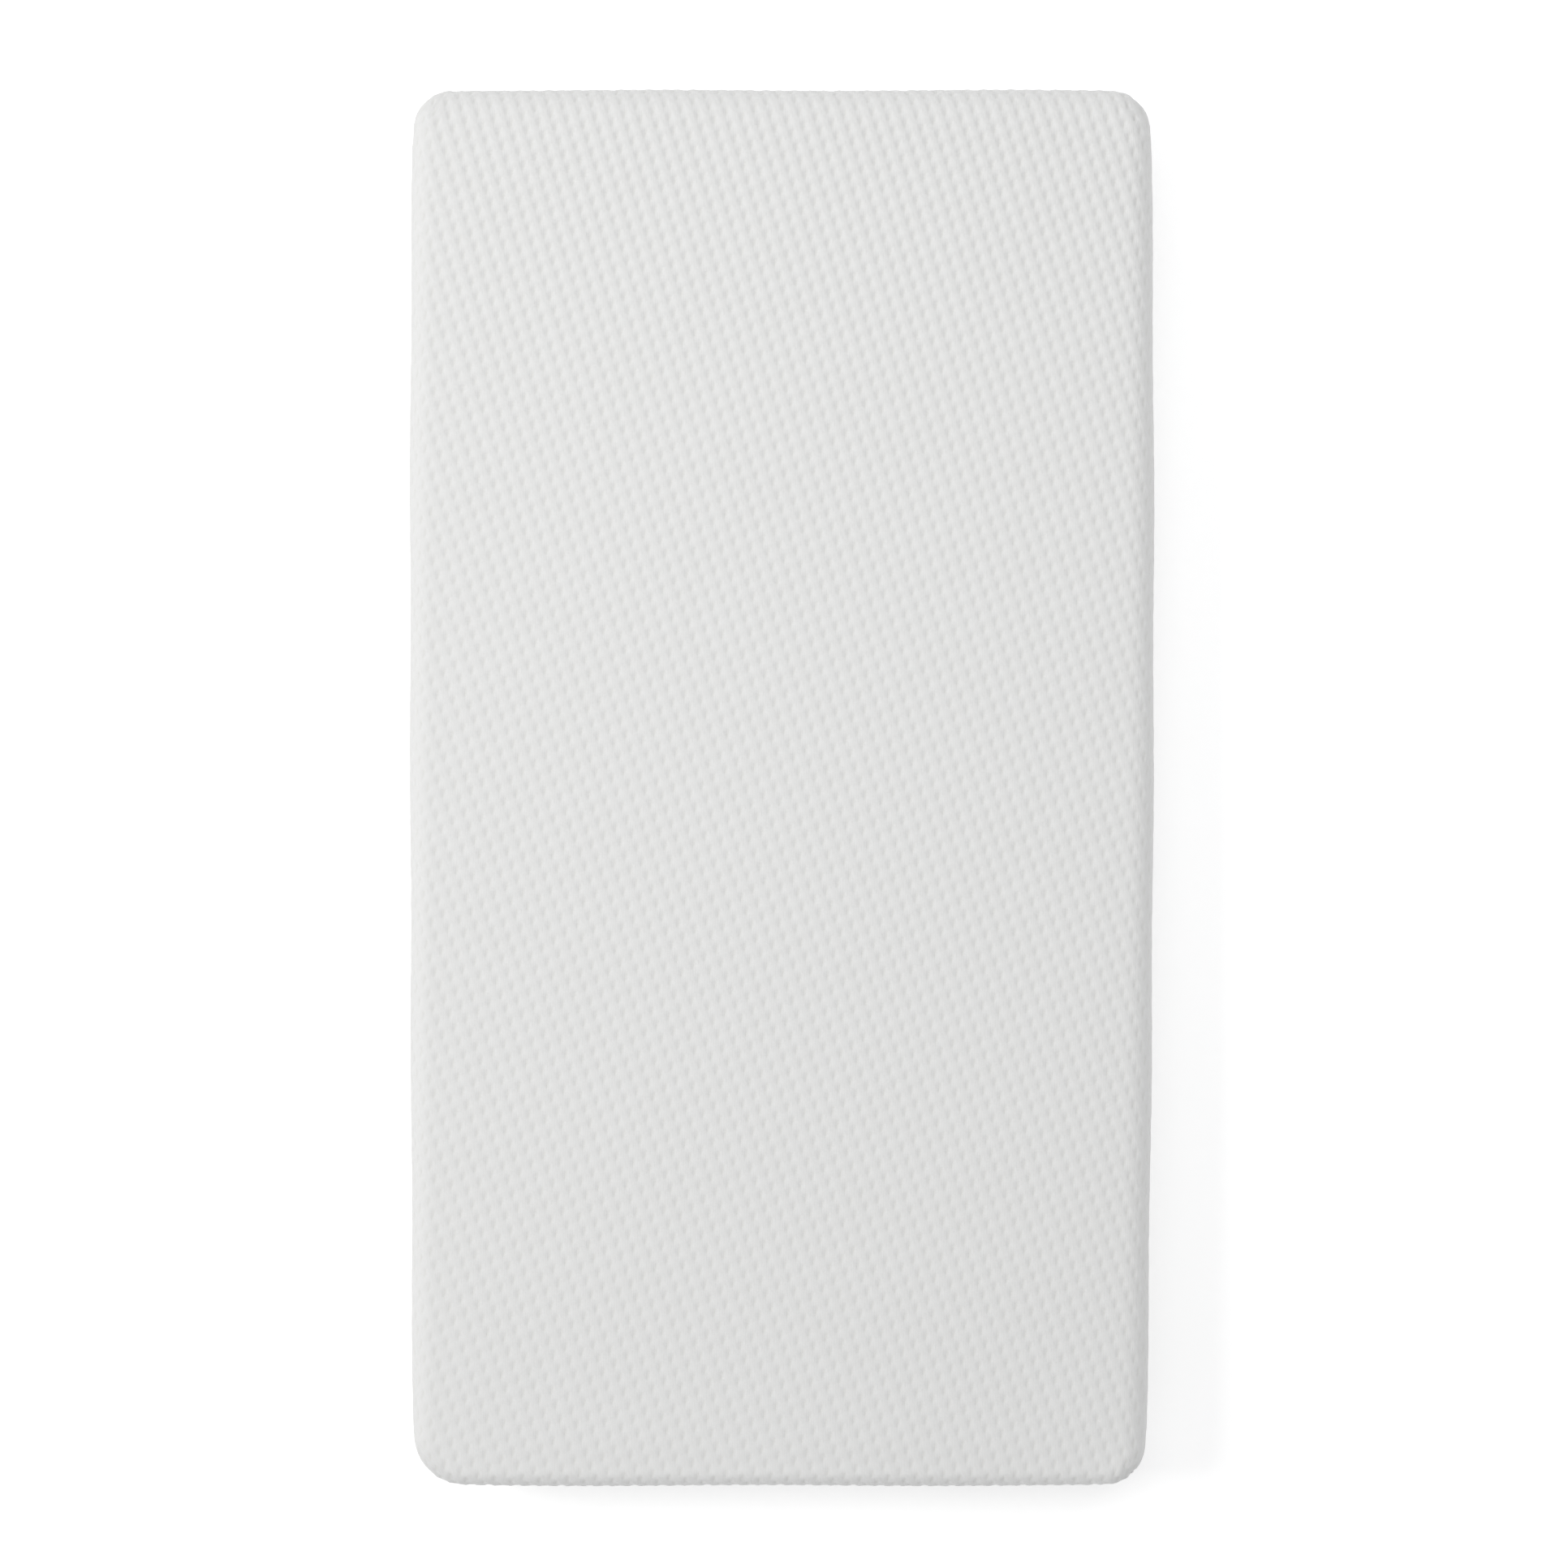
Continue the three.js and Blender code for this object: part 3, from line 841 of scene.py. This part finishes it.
def face_phases(laid, quads):
    """The pattern's phase at each corner of each quad. A quad at a corner seam takes it from one wall."""
    by_x = phase_of(cloth_place(laid, np.full(len(laid["m"]), True)))
    by_y = phase_of(cloth_place(laid, np.full(len(laid["m"]), False)))
    on_x = laid["phi"][quads].mean(axis=1) < math.pi / 4
    return np.where(on_x[:, None, None], by_x[quads], by_y[quads])


def build_cover_top(material, swell):
    flat, quads = grid_over(COVER_TOP, ROW, COLUMN, DIMPLE_STEPS, drift)
    laid, quads, _ = keep_used(lay(COVER_TOP, flat), quads)
    place = cover_surface(COVER_TOP, laid, swell, raised=True)
    quads = face_up(place, quads, laid["normal"])
    whole = make_object("whole", place, quads, material)
    normals = vertex_normals(whole)
    bpy.data.objects.remove(whole)
    phases = face_phases(laid, quads)
    on_border = laid["along"][quads].mean(axis=1) > 1.0
    made = []
    for name, chosen in (("cover_sleeping_panel", ~on_border), ("cover_border", on_border)):
        used, faces = compact(quads[chosen], len(place))
        points, uv, shading = place[used], phases[chosen], normals[used]
        if name == "cover_border":
            points, lip = curl_rim(points, faces, laid["outward"][used], laid["beyond"][used], 1.0)
            faces = np.vstack([faces, np.array(lip)])
            uv = np.concatenate([uv, np.zeros((len(lip), 4, 2))])
            own_normal = np.zeros((len(points) - len(used), 3))  # none given, so the lip keeps its own
            shading = np.vstack([shading, own_normal])
        piece = make_object(name, points, faces, material, "cover_top", "knit_cover")
        set_uv(piece, "dimples", uv)
        piece.data.normals_split_custom_set_from_vertices(shading)
        made.append(piece)
    return made


def build_cover_bottom(material):
    mitre = HALF[1] - HALF[0]  # across less along, on the lines where the corners' cloth is mitred
    step = mitre / round(mitre / (4 * MM))
    flat, quads = grid_over(COVER_BOTTOM, np.array([step, 0]), np.array([0, step]), 1)
    laid, quads, _ = keep_used(lay(COVER_BOTTOM, flat), quads)
    place = cover_surface(COVER_BOTTOM, laid)
    quads = face_up(place, quads, laid["normal"])
    across, along = np.abs(laid["flat"]).T
    mitred = np.abs(along - across - mitre) < 0.1 * MM
    turned = mitred[quads[:, 1]] & mitred[quads[:, 3]]
    quads[turned] = np.roll(quads[turned], 1, axis=1)  # a quad is split from its first corner to its third
    points, lip = curl_rim(place, quads, laid["outward"], laid["beyond"], -1.0)
    flat = np.vstack([laid["flat"], np.zeros((len(points) - len(place), 2))])
    faces = np.vstack([quads, np.array(lip)])
    piece = make_object("cover_underside", points, faces, material, "cover_bottom", "base_fabric")
    set_uv(piece, "cloth", flat[faces])
    return piece


# ---- Stitches and loops of thread ----


def dashes(points, normals, lift, radius, samples, gap=1):
    """A row of stitches along points on cloth. Each is so many samples long and dips in at its ends."""
    parts = []
    for start in range(0, len(points) - samples, samples + gap):
        chosen = slice(start, start + samples)
        rise = lift * np.sin(np.linspace(0.12, math.pi - 0.12, samples)) - 0.1 * MM
        parts.append(tube(points[chosen] + normals[chosen] * rise[:, None], radius, 6))
    return joined(parts)


def overlock(path, side, up, reach_side, reach_up, pitch, radius):
    """A thread wound round a band of cloth, as an overlocked edge has."""
    length = np.concatenate([[0], np.cumsum(np.linalg.norm(np.diff(path, axis=0), axis=1))])
    turns = length[-1] / pitch
    at = np.linspace(0, length[-1], int(turns * 8))

    def between(vectors):
        return np.stack([np.interp(at, length, values) for values in vectors.T], axis=1)

    centre, side, up = between(path), between(side), between(up)
    angle = 2 * math.pi * at / pitch
    loop = side * (reach_side * np.cos(angle))[:, None] + up * (reach_up * np.sin(angle))[:, None]
    return tube(centre + loop, radius, 4)


def slot_stitches(form, swell):
    """The row that holds one of the cover's folded edges to the zip's tape."""
    y = np.arange(-SLOT_HALF - 4 * MM, SLOT_HALF + 4 * MM, 0.85 * MM)
    rim = lay(form, np.column_stack([np.full(len(y), 1.0), y]))
    x = rim["centre"][:, 0] + rim["m"] - STITCH_INSET
    laid = lay(form, np.column_stack([x, y]))
    points = cover_surface(form, laid, swell)
    return dashes(points, laid["outward"], 0.35 * MM, 0.17 * MM, 4)


def build_slot_stitches(swell, thread):
    rows = [slot_stitches(COVER_TOP, swell), slot_stitches(COVER_BOTTOM, None)]
    make_object("zip_topstitch", *joined(rows), thread, slot="seam_thread")


def build_corner_folds(material, swell):
    """The two rolled edges of cloth that meet along each upright corner seam."""
    parts = []
    for side, corner in zip(CORNER_SIDES, CORNERS):
        m = np.arange(corner - 24 * MM, corner + 100 * MM, 0.8 * MM)
        laid = lay(COVER_TOP, (HALF - corner + m[:, None]) * side)
        shown = (laid["along"] > SEAM_BEGINS[0] + 0.1) & ~laid["beyond"]
        laid, m = {key: value[shown] for key, value in laid.items()}, m[shown]
        place = settle(laid, COVER_TOP) + (swell.at(laid["flat"]) if swell else 0)
        sunk = 1 - smooth(laid["along"], SEAM_BEGINS[0] + 0.1, 1.0)
        pucker = 0.14 * MM * np.sin(laid["m"] * 2 * math.pi / (6.5 * MM))
        depth = FOLD_R + 0.25 * MM + sunk * 0.5 * MM
        for turn in (1, -1):
            across = turn * unit(np.cross(laid["normal"], [0, 0, 1.0]))
            away = FOLD_R * (1.02 + 0.06 * np.sin(m * 900 + turn))
            path = place - laid["normal"] * (depth - turn * pucker)[:, None] + across * away[:, None]
            parts.append(tube(path, FOLD_R, 10))
    folds = make_object("corner_folds", *joined(parts), material, slot="knit_cover")
    box_uv(folds, "cloth")


# ---- What the cover holds ----

SIDE_STEP = 10 * MM  # between an outline's points along its sides
CORNER_POINTS = 11
SEAM_INSET = 4.1 * MM  # of the seam allowance's middle, from the walls' outside
TUCK_INSET = 6.0 * MM
FOAM_CORNERS = (52.5 * MM,) * 4
FOAM_ROLL = 13.5 * MM
FOAM_TOP_ROLL = 22.5 * MM
SOCK_CORNERS = (54 * MM,) * 4
SOCK_ROLL = 15 * MM
SOCK_TOP_ROLL = 24 * MM  # more than below, to stay inside the cover's soft edge
SOCK_SLACK = 0.8 * MM  # how far the sock lies below its own CAD node's top, clear of the knit's dimples
SOCK_SEAM_Z = 62 * MM
SOCK_HEIGHTS = (74 * MM, 87 * MM)  # of the rings between its seam and the top of its mouth
SOCK_DEPTHS = (40 * MM, 34 * MM, 26 * MM)  # and of those between its mouth and its lower roll
MOUTH = (50 * MM, 100 * MM)  # the lowest and highest point of the sock's open end
MOUTH_HALF = 290 * MM
FACE_RINGS = 26  # that close each face of a layer of foam
# The distances from the zip's middle between which the hollow for it runs out, along it and across it.
HOLLOW_ENDS = (612 * MM, 624 * MM)
HOLLOW_EDGES = (15 * MM, 21 * MM)


def outline(half, corners):
    """Points round a rectangle with round corners, anticlockwise from the right, and where they face."""
    arcs, facing = [], []
    for quarter, (side, corner) in enumerate(zip(CORNER_SIDES, corners)):
        angle = math.pi / 2 * (quarter + np.linspace(0, 1, CORNER_POINTS))
        direction = np.stack([np.cos(angle), np.sin(angle)], axis=1)
        arcs.append((half - corner) * side + corner * direction)
        facing.append(direction)
    points, directions = [], []
    for quarter in range(4):
        first, last = arcs[quarter][-1], arcs[(quarter + 1) % 4][0]
        count = round(np.linalg.norm(last - first) / SIDE_STEP)
        share = np.linspace(0, 1, count + 1)[1:-1, None]
        points += [arcs[quarter], first + (last - first) * share]
        directions += [facing[quarter], np.repeat(facing[quarter][-1:], count - 1, axis=0)]
    return np.vstack(points), np.vstack(directions)


def line_round(plan, facing, z, in_gap):
    """An outline as a line at a height, from one side of a gap to the other, where it faces, and up."""
    shown = ~in_gap
    first = int(np.argmax(shown & ~np.roll(shown, 1)))
    order = np.roll(np.arange(len(plan)), -first)
    order = order[shown[order]]
    path = np.column_stack([plan[order], np.full(len(order), z)])
    return path, np.column_stack([facing[order], np.zeros(len(order))]), repeated(UP, len(order))


def ring_at(half, corners, inset, z):
    plan, _ = outline(half - inset, [corner - inset for corner in corners])
    return np.column_stack([plan, np.full(len(plan), z)])


def faced(ring, half, count):
    """Rings that close a block's face, from its edge to a line down its middle."""
    spine = half[1] - half[0]
    middle = np.column_stack([ring[:, 0] * 0, np.clip(ring[:, 1], -spine, spine), ring[:, 2]])
    return [ring + (middle - ring) * k / count for k in range(1, count + 1)]


def skin(rings):
    """The points and quads of a skin through rings that have the same number of points."""
    points = np.vstack(rings)
    return points, ring_quads(np.arange(len(points)).reshape(len(rings), -1))


def rolled(roll, from_z, to_z, steps=6):
    """Insets and heights round a rolled edge, from the wall at from_z to the face at to_z."""
    turns = np.linspace(0, math.pi / 2, steps + 1)
    return [(roll * (1 - math.cos(t)), from_z + (to_z - from_z) * math.sin(t)) for t in turns]


def walls(from_z, to_z, steps):
    return [(0.0, z) for z in np.linspace(from_z, to_z, steps + 1)[:-1]]


def pressed(points, floor_x):
    """Presses the hollow that the zip lies in into the right wall."""
    points = points.copy()
    x, y, z = points.T
    share = (1 - smooth(np.abs(y), *HOLLOW_ENDS)) * (1 - smooth(np.abs(z - SEAM_Z), *HOLLOW_EDGES))
    deep = (x > floor_x) & (share > 0)
    points[deep, 0] += ((floor_x - x) * share)[deep]
    return points


def build_foam(node, material, slot, edges):
    """One layer of foam: cut flat where the layers meet, and rounded at its outer edge."""
    lowest, highest = low(node), high(node)
    half = np.array([highest.x, highest.y])
    rings = [ring_at(half, FOAM_CORNERS, inset, z) for inset, z in edges(lowest.z, highest.z)]
    rings = faced(rings[0], half, FACE_RINGS)[::-1] + rings + faced(rings[-1], half, FACE_RINGS)
    points, quads = skin(rings)
    x, y, z = points.T
    uneven = 0.12 * MM * np.sin(31 * x + 2) * np.sin(27 * y) + 0.1 * MM * np.sin(53 * x - 41 * y)
    middle = (lowest.z + highest.z) / 2
    points[:, 2] -= np.sign(z - middle) * (0.25 * MM + uneven) * (np.abs(x) < half[0] - 20 * MM)
    points = bowed(pressed(points, low("zip_tape_upper").x - 3.0 * MM))
    piece = weld(make_object(node + "_cut", points, quads, material, node, slot))
    piece.data.set_sharp_from_angle(angle=math.radians(50))


def memory_edges(lowest, highest):
    turn = highest - FOAM_TOP_ROLL
    cut = [(0.8 * MM, lowest), (0.2 * MM, lowest + 0.2 * MM)]
    return cut + walls(lowest + 0.8 * MM, turn, 4) + rolled(FOAM_TOP_ROLL, turn, highest)


def core_edges(lowest, highest):
    turn = lowest + FOAM_ROLL
    cut = [(0.2 * MM, highest - 0.2 * MM), (0.8 * MM, highest)]
    return rolled(FOAM_ROLL, turn, lowest)[::-1] + walls(turn, highest - 0.8 * MM, 16)[1:] + cut


def build_sock(material, thread):
    """The fire barrier: a fine knit sock in two halves, with a mouth at the foot that its flap shuts."""
    lowest, highest = low("fire_barrier_sock"), high("fire_barrier_sock")
    half = np.array([highest.x, highest.y])
    seam = SOCK_SEAM_Z
    upper = [(0.0, z) for z in (seam, *SOCK_HEIGHTS, MOUTH[1], MOUTH[1] + 11 * MM)]
    upper += rolled(SOCK_TOP_ROLL, highest.z - SOCK_TOP_ROLL, highest.z - SOCK_SLACK)
    lower = [(0.0, z) for z in (seam, MOUTH[0], *SOCK_DEPTHS)]
    lower += rolled(SOCK_ROLL, lowest.z + SOCK_ROLL, lowest.z)
    parts = []
    for edges in (upper, lower):
        rings = [ring_at(half, SOCK_CORNERS, inset, z) for inset, z in edges]
        points, quads = skin(rings + faced(rings[-1], half, 30))
        centre = points[quads].mean(axis=1)
        in_mouth = (np.abs(centre[:, 0]) < MOUTH_HALF) & (centre[:, 1] < -half[1] + 2 * MM)
        in_mouth &= (centre[:, 2] > MOUTH[0]) & (centre[:, 2] < MOUTH[1])
        points = bowed(pressed(points, low("zip_tape_upper").x - 1.5 * MM))
        parts.append((points, quads[~in_mouth].tolist()))
    parts[1] = (parts[1][0], [face[::-1] for face in parts[1][1]])  # the lower half is built downwards
    points, faces = joined(parts)
    piece = make_object("fire_sock", points, faces, material, "fire_barrier_sock", "fire_sock")
    box_uv(piece, "cloth")
    plan, facing = outline(half, SOCK_CORNERS)
    plan = bowed(np.column_stack([plan, np.full(len(plan), seam)]))[:, :2]
    in_mouth = (np.abs(plan[:, 0]) < MOUTH_HALF) & (plan[:, 1] < 0)
    path, facing, up = line_round(plan, facing, seam, in_mouth)
    loops = overlock(path + facing * 0.25 * MM, facing, up, 0.3 * MM, 2.2 * MM, 2.6 * MM, 0.16 * MM)
    make_object("fire_sock_seam", *loops, thread, "fire_barrier_sock", "seam_thread")


def build_flap(material, thread):
    """The flap over the sock's mouth, hemmed along its free edge."""
    lowest, highest = low("fire_barrier_flap"), high("fire_barrier_flap")
    x = np.linspace(lowest.x, highest.x, 150)
    z = np.linspace(lowest.z, highest.z, 26)
    x, z = np.meshgrid(x, z, indexing="ij")

    def rippled(x, z):
        return (lowest.y + highest.y) / 2 + 0.25 * MM * np.sin(x * 60 + 1) * smooth(z, lowest.z, highest.z)

    grid = np.stack([x, rippled(x, z), z], axis=-1)
    sheet = thin_sheet(grid, np.array([0, 0.5 * MM, 0]))
    piece = weld(make_object("fire_sock_flap", *sheet, material, "fire_barrier_flap", "fire_sock"))
    box_uv(piece, "cloth")
    along = np.arange(lowest.x + 4 * MM, highest.x - 4 * MM, 0.9 * MM)
    rows = []
    for height in (highest.z - 4 * MM, lowest.z + 6 * MM):
        level = np.full(len(along), height)
        line = np.column_stack([along, rippled(along, level) - 0.3 * MM, level])
        rows.append(dashes(line, repeated(FOOTWARD, len(line)), 0.25 * MM, 0.14 * MM, 3))
    make_object("fire_sock_flap_stitches", *joined(rows), thread, slot="seam_thread")


def build_perimeter_seam(cloth, thread):
    """The seam allowance inside the walls, overlocked, which stops at the zip's hem."""
    lowest, highest = low("perimeter_seam"), high("perimeter_seam")
    corners = [corner - SEAM_INSET for corner in CORNERS]
    plan, facing = outline(HALF + WALL_EASE - SEAM_INSET, corners)
    by_zip = (plan[:, 0] > 0) & (np.abs(plan[:, 1]) < SLOT_HALF + 9 * MM)
    path, side, up = line_round(plan, facing, SEAM_Z, by_zip)
    path += side * (0.12 * MM * np.sin(np.arange(len(path)) * 1.6))[:, None]
    section = rounded_strip(highest.z - lowest.z - 0.6 * MM, 1.0 * MM)[:, ::-1]
    band = sweep(path, side, up, section)
    weld(make_object("seam_allowance", *band, cloth, "perimeter_seam", "seam_thread"))
    loops = overlock(path, side, up, 0.62 * MM, 3.9 * MM, 2.8 * MM, 0.15 * MM)
    make_object("seam_overlock", *loops, thread, "perimeter_seam", "seam_thread")


def build_corner_seams(cloth, thread):
    """Inside each corner, the tuck of cloth where two walls are sewn together."""
    for name, side, corner in zip(CORNER_NAMES, CORNER_SIDES, CORNERS):
        node = f"corner_seam_{name}"
        z = np.linspace(low(node).z + 0.5 * MM, high(node).z - 0.5 * MM, 60)
        out = side * math.sqrt(0.5)
        middle = (HALF - corner) * side + out * (corner - TUCK_INSET)
        path = bowed(np.column_stack([repeated(middle, len(z)), z]))
        wave = 0.2 * MM * np.sin(z * 420)
        outward, across = repeated([*out, 0], len(z)), repeated([-out[1], out[0], 0], len(z))
        path += across * wave[:, None]
        section = rounded_strip(4.2 * MM, 1.5 * MM)
        plies = sweep(path, outward, across, section)
        weld(make_object(f"{node}_tuck", *plies, cloth, node, "seam_thread"))
        inner = path - outward * 0.6 * MM
        loops = overlock(inner, outward, across, 1.75 * MM, 0.9 * MM, 2.6 * MM, 0.15 * MM)
        make_object(f"{node}_overlock", *loops, thread, node, "seam_thread")


# ---- The zip ----

COIL_PITCH = 1.5 * MM


def zip_place(u, v, w):
    return np.stack(np.broadcast_arrays(ZIP_X + w, u, SEAM_Z + v), axis=-1)


def build_band(node, path, section, tape):
    up, out = repeated(UP, len(path)), repeated(OUT, len(path))
    weld(make_object(f"{node}_woven", *sweep(path, up, out, section), tape, node, "zip_tape"))


def build_tapes(tape):
    for name, side in (("upper", 1), ("lower", -1)):
        node = f"zip_tape_{name}"
        u = np.linspace(low(node).y, high(node).y, 260)
        width = high(node).z - low(node).z
        middle = (high(node).z + low(node).z) / 2 - SEAM_Z
        path = zip_place(u, middle, -0.3 * MM + 0.06 * MM * np.sin(u * 47 + side))
        build_band(node, path, rounded_strip(width, 0.5 * MM), tape)


def build_coils(nylon, thread):
    """Each coil is one nylon line, wound so that its heads face the other coil's gaps, and sewn down."""
    for name, side in (("upper", 1), ("lower", -1)):
        node = f"zip_coil_{name}"
        u = np.arange(low(node).y + 0.3 * MM, high(node).y - 0.3 * MM, COIL_PITCH / 10)
        angle = 2 * math.pi * u / COIL_PITCH + (0 if side > 0 else math.pi)
        v = side * (1.55 * MM - 1.62 * MM * np.cos(angle))
        w = 1.4 * MM + 0.85 * MM * np.sin(angle)
        make_object(f"{node}_wound", *tube(zip_place(u, v, w), 0.25 * MM, 5), nylon, node, "zip_coil")
        rows = []
        for v_row in (1.5 * MM, 2.5 * MM):
            line = np.arange(low(node).y + 1 * MM, high(node).y - 1 * MM, 0.5 * MM)
            rise = 2.3 * MM + 0.08 * MM * np.sin(2 * math.pi * line / COIL_PITCH)
            row = zip_place(line, side * v_row, rise)
            rows.append(dashes(row, repeated(OUT, len(row)), 0.1 * MM, 0.11 * MM, 3))
        make_object(f"{node}_sewing", *joined(rows), thread, node, "zip_coil")


def build_end_tabs(tape, thread):
    """A woven tab over each end of the tapes, with a bar tack across it."""
    for name, side in (("head", 1), ("foot", -1)):
        node = f"zip_end_tab_{name}"
        lowest, highest = low(node), high(node)
        u = np.linspace(lowest.y, highest.y, 14)
        ends = np.clip(np.minimum(u - lowest.y, highest.y - u) / (1.0 * MM), 0, 1)
        thick = (highest.x - lowest.x) * (0.72 + 0.28 * np.sqrt(1 - (1 - ends) ** 2))
        path = zip_place(u, 0.0, lowest.x - ZIP_X + thick / 2)
        build_band(node, path, np.stack([rounded_strip(highest.z - lowest.z, t) for t in thick]), tape)
        rows = []
        for at in (0.3, 0.7):
            run = np.linspace(-1, 1, 61)
            u = lowest.y + (highest.y - lowest.y) * at + 1.1 * MM * np.sign(np.sin(run * 45))
            v = run * (highest.z - lowest.z) * 0.42
            rows.append(tube(zip_place(u, v, highest.x - ZIP_X + 0.05 * MM), 0.16 * MM))
        make_object(f"{node}_tack", *joined(rows), thread, node, "seam_thread")


# ---- The labels ----


def build_label(node, body, out, material, thread):
    """A blank satin label that hangs from the seam, bent a little outwards, and stitched across its top."""
    out = np.array(out)
    lowest, highest = low(node), high(node)
    across = np.array([abs(out[1]), abs(out[0]), 0.0])
    size = (np.array(highest) - np.array(lowest)) @ across
    middle = (np.array(highest) + np.array(lowest)) / 2
    s, t = np.meshgrid(np.linspace(-0.5, 0.5, 41), np.linspace(0, 1, 33), indexing="ij")
    bend = 0.35 * MM + 2.2 * MM * t**2 * (1 + 0.5 * s) + 0.25 * MM * np.sin(9 * s + 2) * t
    grid = middle + across * (s * size)[..., None] + out * bend[..., None]
    grid[..., 2] = highest.z - t * (highest.z - lowest.z)
    points, faces = thin_sheet(grid, out * 0.3 * MM)
    piece = weld(make_object(f"{node}_satin", points, faces, material, node, "label_satin", body))
    fold = grid[:, 3] + out * 0.15 * MM
    line = fold[0] + (fold[-1] - fold[0]) * np.linspace(0.04, 0.96, int(size / (0.7 * MM)))[:, None]
    stitches = dashes(line, repeated(out, len(line)), 0.25 * MM, 0.13 * MM, 3)
    row = make_object(f"{node}_stitches", *stitches, thread, node, "seam_thread", body)


# ---- The stage ----

FLOOR_GLOW = 0.26
SKY = 0.58
SKY_COLOUR = (0.99, 0.993, 1.0)
KEY_POWER = 66
OVERHEAD_POWER = 24
FLOOR_REACH = 30.0
CAMERA_HEIGHT = 3.5
FRAME_WIDTH = 1.4768  # of the picture, at OUTLINE_Z
VIEW_CENTRE = Vector((0.0019, 0.0034))
OUTLINE_Z = TOP_Z - 25 * MM  # where the walls are widest


def add_light(name, place, target, size, power, colour=(1, 1, 1)):
    light = bpy.data.lights.new(name, "AREA")
    light.shape = "RECTANGLE"
    light.size, light.size_y = size
    light.energy = power
    light.color = colour
    lamp = placed(name, light)
    lamp.location = place
    lamp.rotation_euler = (Vector(target) - Vector(place)).to_track_quat("-Z", "Y").to_euler()


def build_stage():
    surface = Surface("studio_floor", Roughness=0.9)
    surface.colour(surface.mix(surface.noise(2.0), (0.93, 0.93, 0.93), (0.95, 0.95, 0.95)))
    surface.shader.inputs["Emission Color"].default_value = (1, 1, 1, 1)
    surface.shader.inputs["Emission Strength"].default_value = FLOOR_GLOW
    mesh = bpy.data.meshes.new("floor")
    corners = [(x * FLOOR_REACH, y * FLOOR_REACH, 0) for x, y in ((-1, -1), (1, -1), (1, 1), (-1, 1))]
    mesh.from_pydata(corners, [], [(0, 1, 2, 3)])
    mesh.materials.append(surface.material)
    floor = placed("floor", mesh)
    floor.location.z = -0.2 * MM

    world = bpy.data.worlds.new("studio")
    world.use_nodes = True
    world.node_tree.nodes["Background"].inputs[0].default_value = (*SKY_COLOUR, 1)
    world.node_tree.nodes["Background"].inputs[1].default_value = SKY
    bpy.context.scene.world = world
    add_light("key", (-2.6, 0.3, 3.2), (0, 0.15, 0.1), (1.7, 1.7), KEY_POWER, (1.0, 0.995, 0.985))
    add_light("overhead", (0.4, 1.05, 3.0), (0.05, 0.35, 0.1), (2.0, 2.0), OVERHEAD_POWER)

    camera = bpy.data.cameras.new("camera")
    camera.sensor_width = 36.0
    camera.lens = camera.sensor_width * (CAMERA_HEIGHT - OUTLINE_Z) / FRAME_WIDTH
    camera.clip_end = 50
    eye = placed("camera", camera)
    eye.location = (*VIEW_CENTRE, CAMERA_HEIGHT)
    bpy.context.scene.camera = eye
    bpy.context.scene.view_settings.view_transform = "Standard"


def build():
    knit = knit_surface()
    base = plain_knit_surface("underside_knit", (0.80, 0.80, 0.79), (0.74, 0.74, 0.73), 1.3 * MM, 1.0 * MM)
    folded = plain_knit_surface("folded_knit", KNIT_PUFF, KNIT_PLAIN, 1.15 * MM, 0.85 * MM)
    barrier = plain_knit_surface("barrier_knit", (0.83, 0.81, 0.75), (0.77, 0.75, 0.68), 1.0 * MM, 0.9 * MM)
    memory = foam_surface("memory_foam", (0.84, 0.77, 0.58), (0.76, 0.68, 0.48), 0.5 * MM)
    support = foam_surface("support_foam", (0.86, 0.85, 0.80), (0.76, 0.75, 0.70), 0.9 * MM)
    tape = woven_surface("zip_tape_twill", (0.84, 0.84, 0.83), (0.76, 0.76, 0.75), 0.8 * MM)
    binding = woven_surface("allowance_cloth", (0.82, 0.82, 0.80), (0.74, 0.74, 0.72), 0.9 * MM)
    satin = woven_surface("label_satin", (0.88, 0.88, 0.87), (0.82, 0.82, 0.81), 0.35 * MM, gloss=0.38)
    thread, nylon = thread_surface(), nylon_surface()
    enamel, metal = enamel_surface(), stamped_surface()

    swell = Swell(COVER_TOP)
    panel, border = build_cover_top(knit, swell)
    underside = build_cover_bottom(base)
    build_foam("memory_foam_layer", memory, "memory_foam", memory_edges)
    build_foam("support_core", support, "support_foam", core_edges)
    build_sock(barrier, thread)
    build_flap(barrier, thread)
    build_perimeter_seam(binding, thread)
    build_corner_seams(binding, thread)
    build_corner_folds(folded, swell)
    build_slot_stitches(swell, thread)
    build_tapes(tape)
    build_coils(nylon, thread)
    build_end_tabs(tape, thread)
    for node in ("zip_stop_head_upper", "zip_stop_head_lower", "zip_stop_foot"):
        refined(node, metal)
    refined("zip_slider", enamel, "zip_runner")
    refined("zip_pull", enamel, "zip_pull_tab")
    build_label("care_label", "care_tag", (-1, 0, 0), satin, thread)
    build_label("law_label", "law_tag", FOOTWARD, satin, thread)
    build_stage()


build()
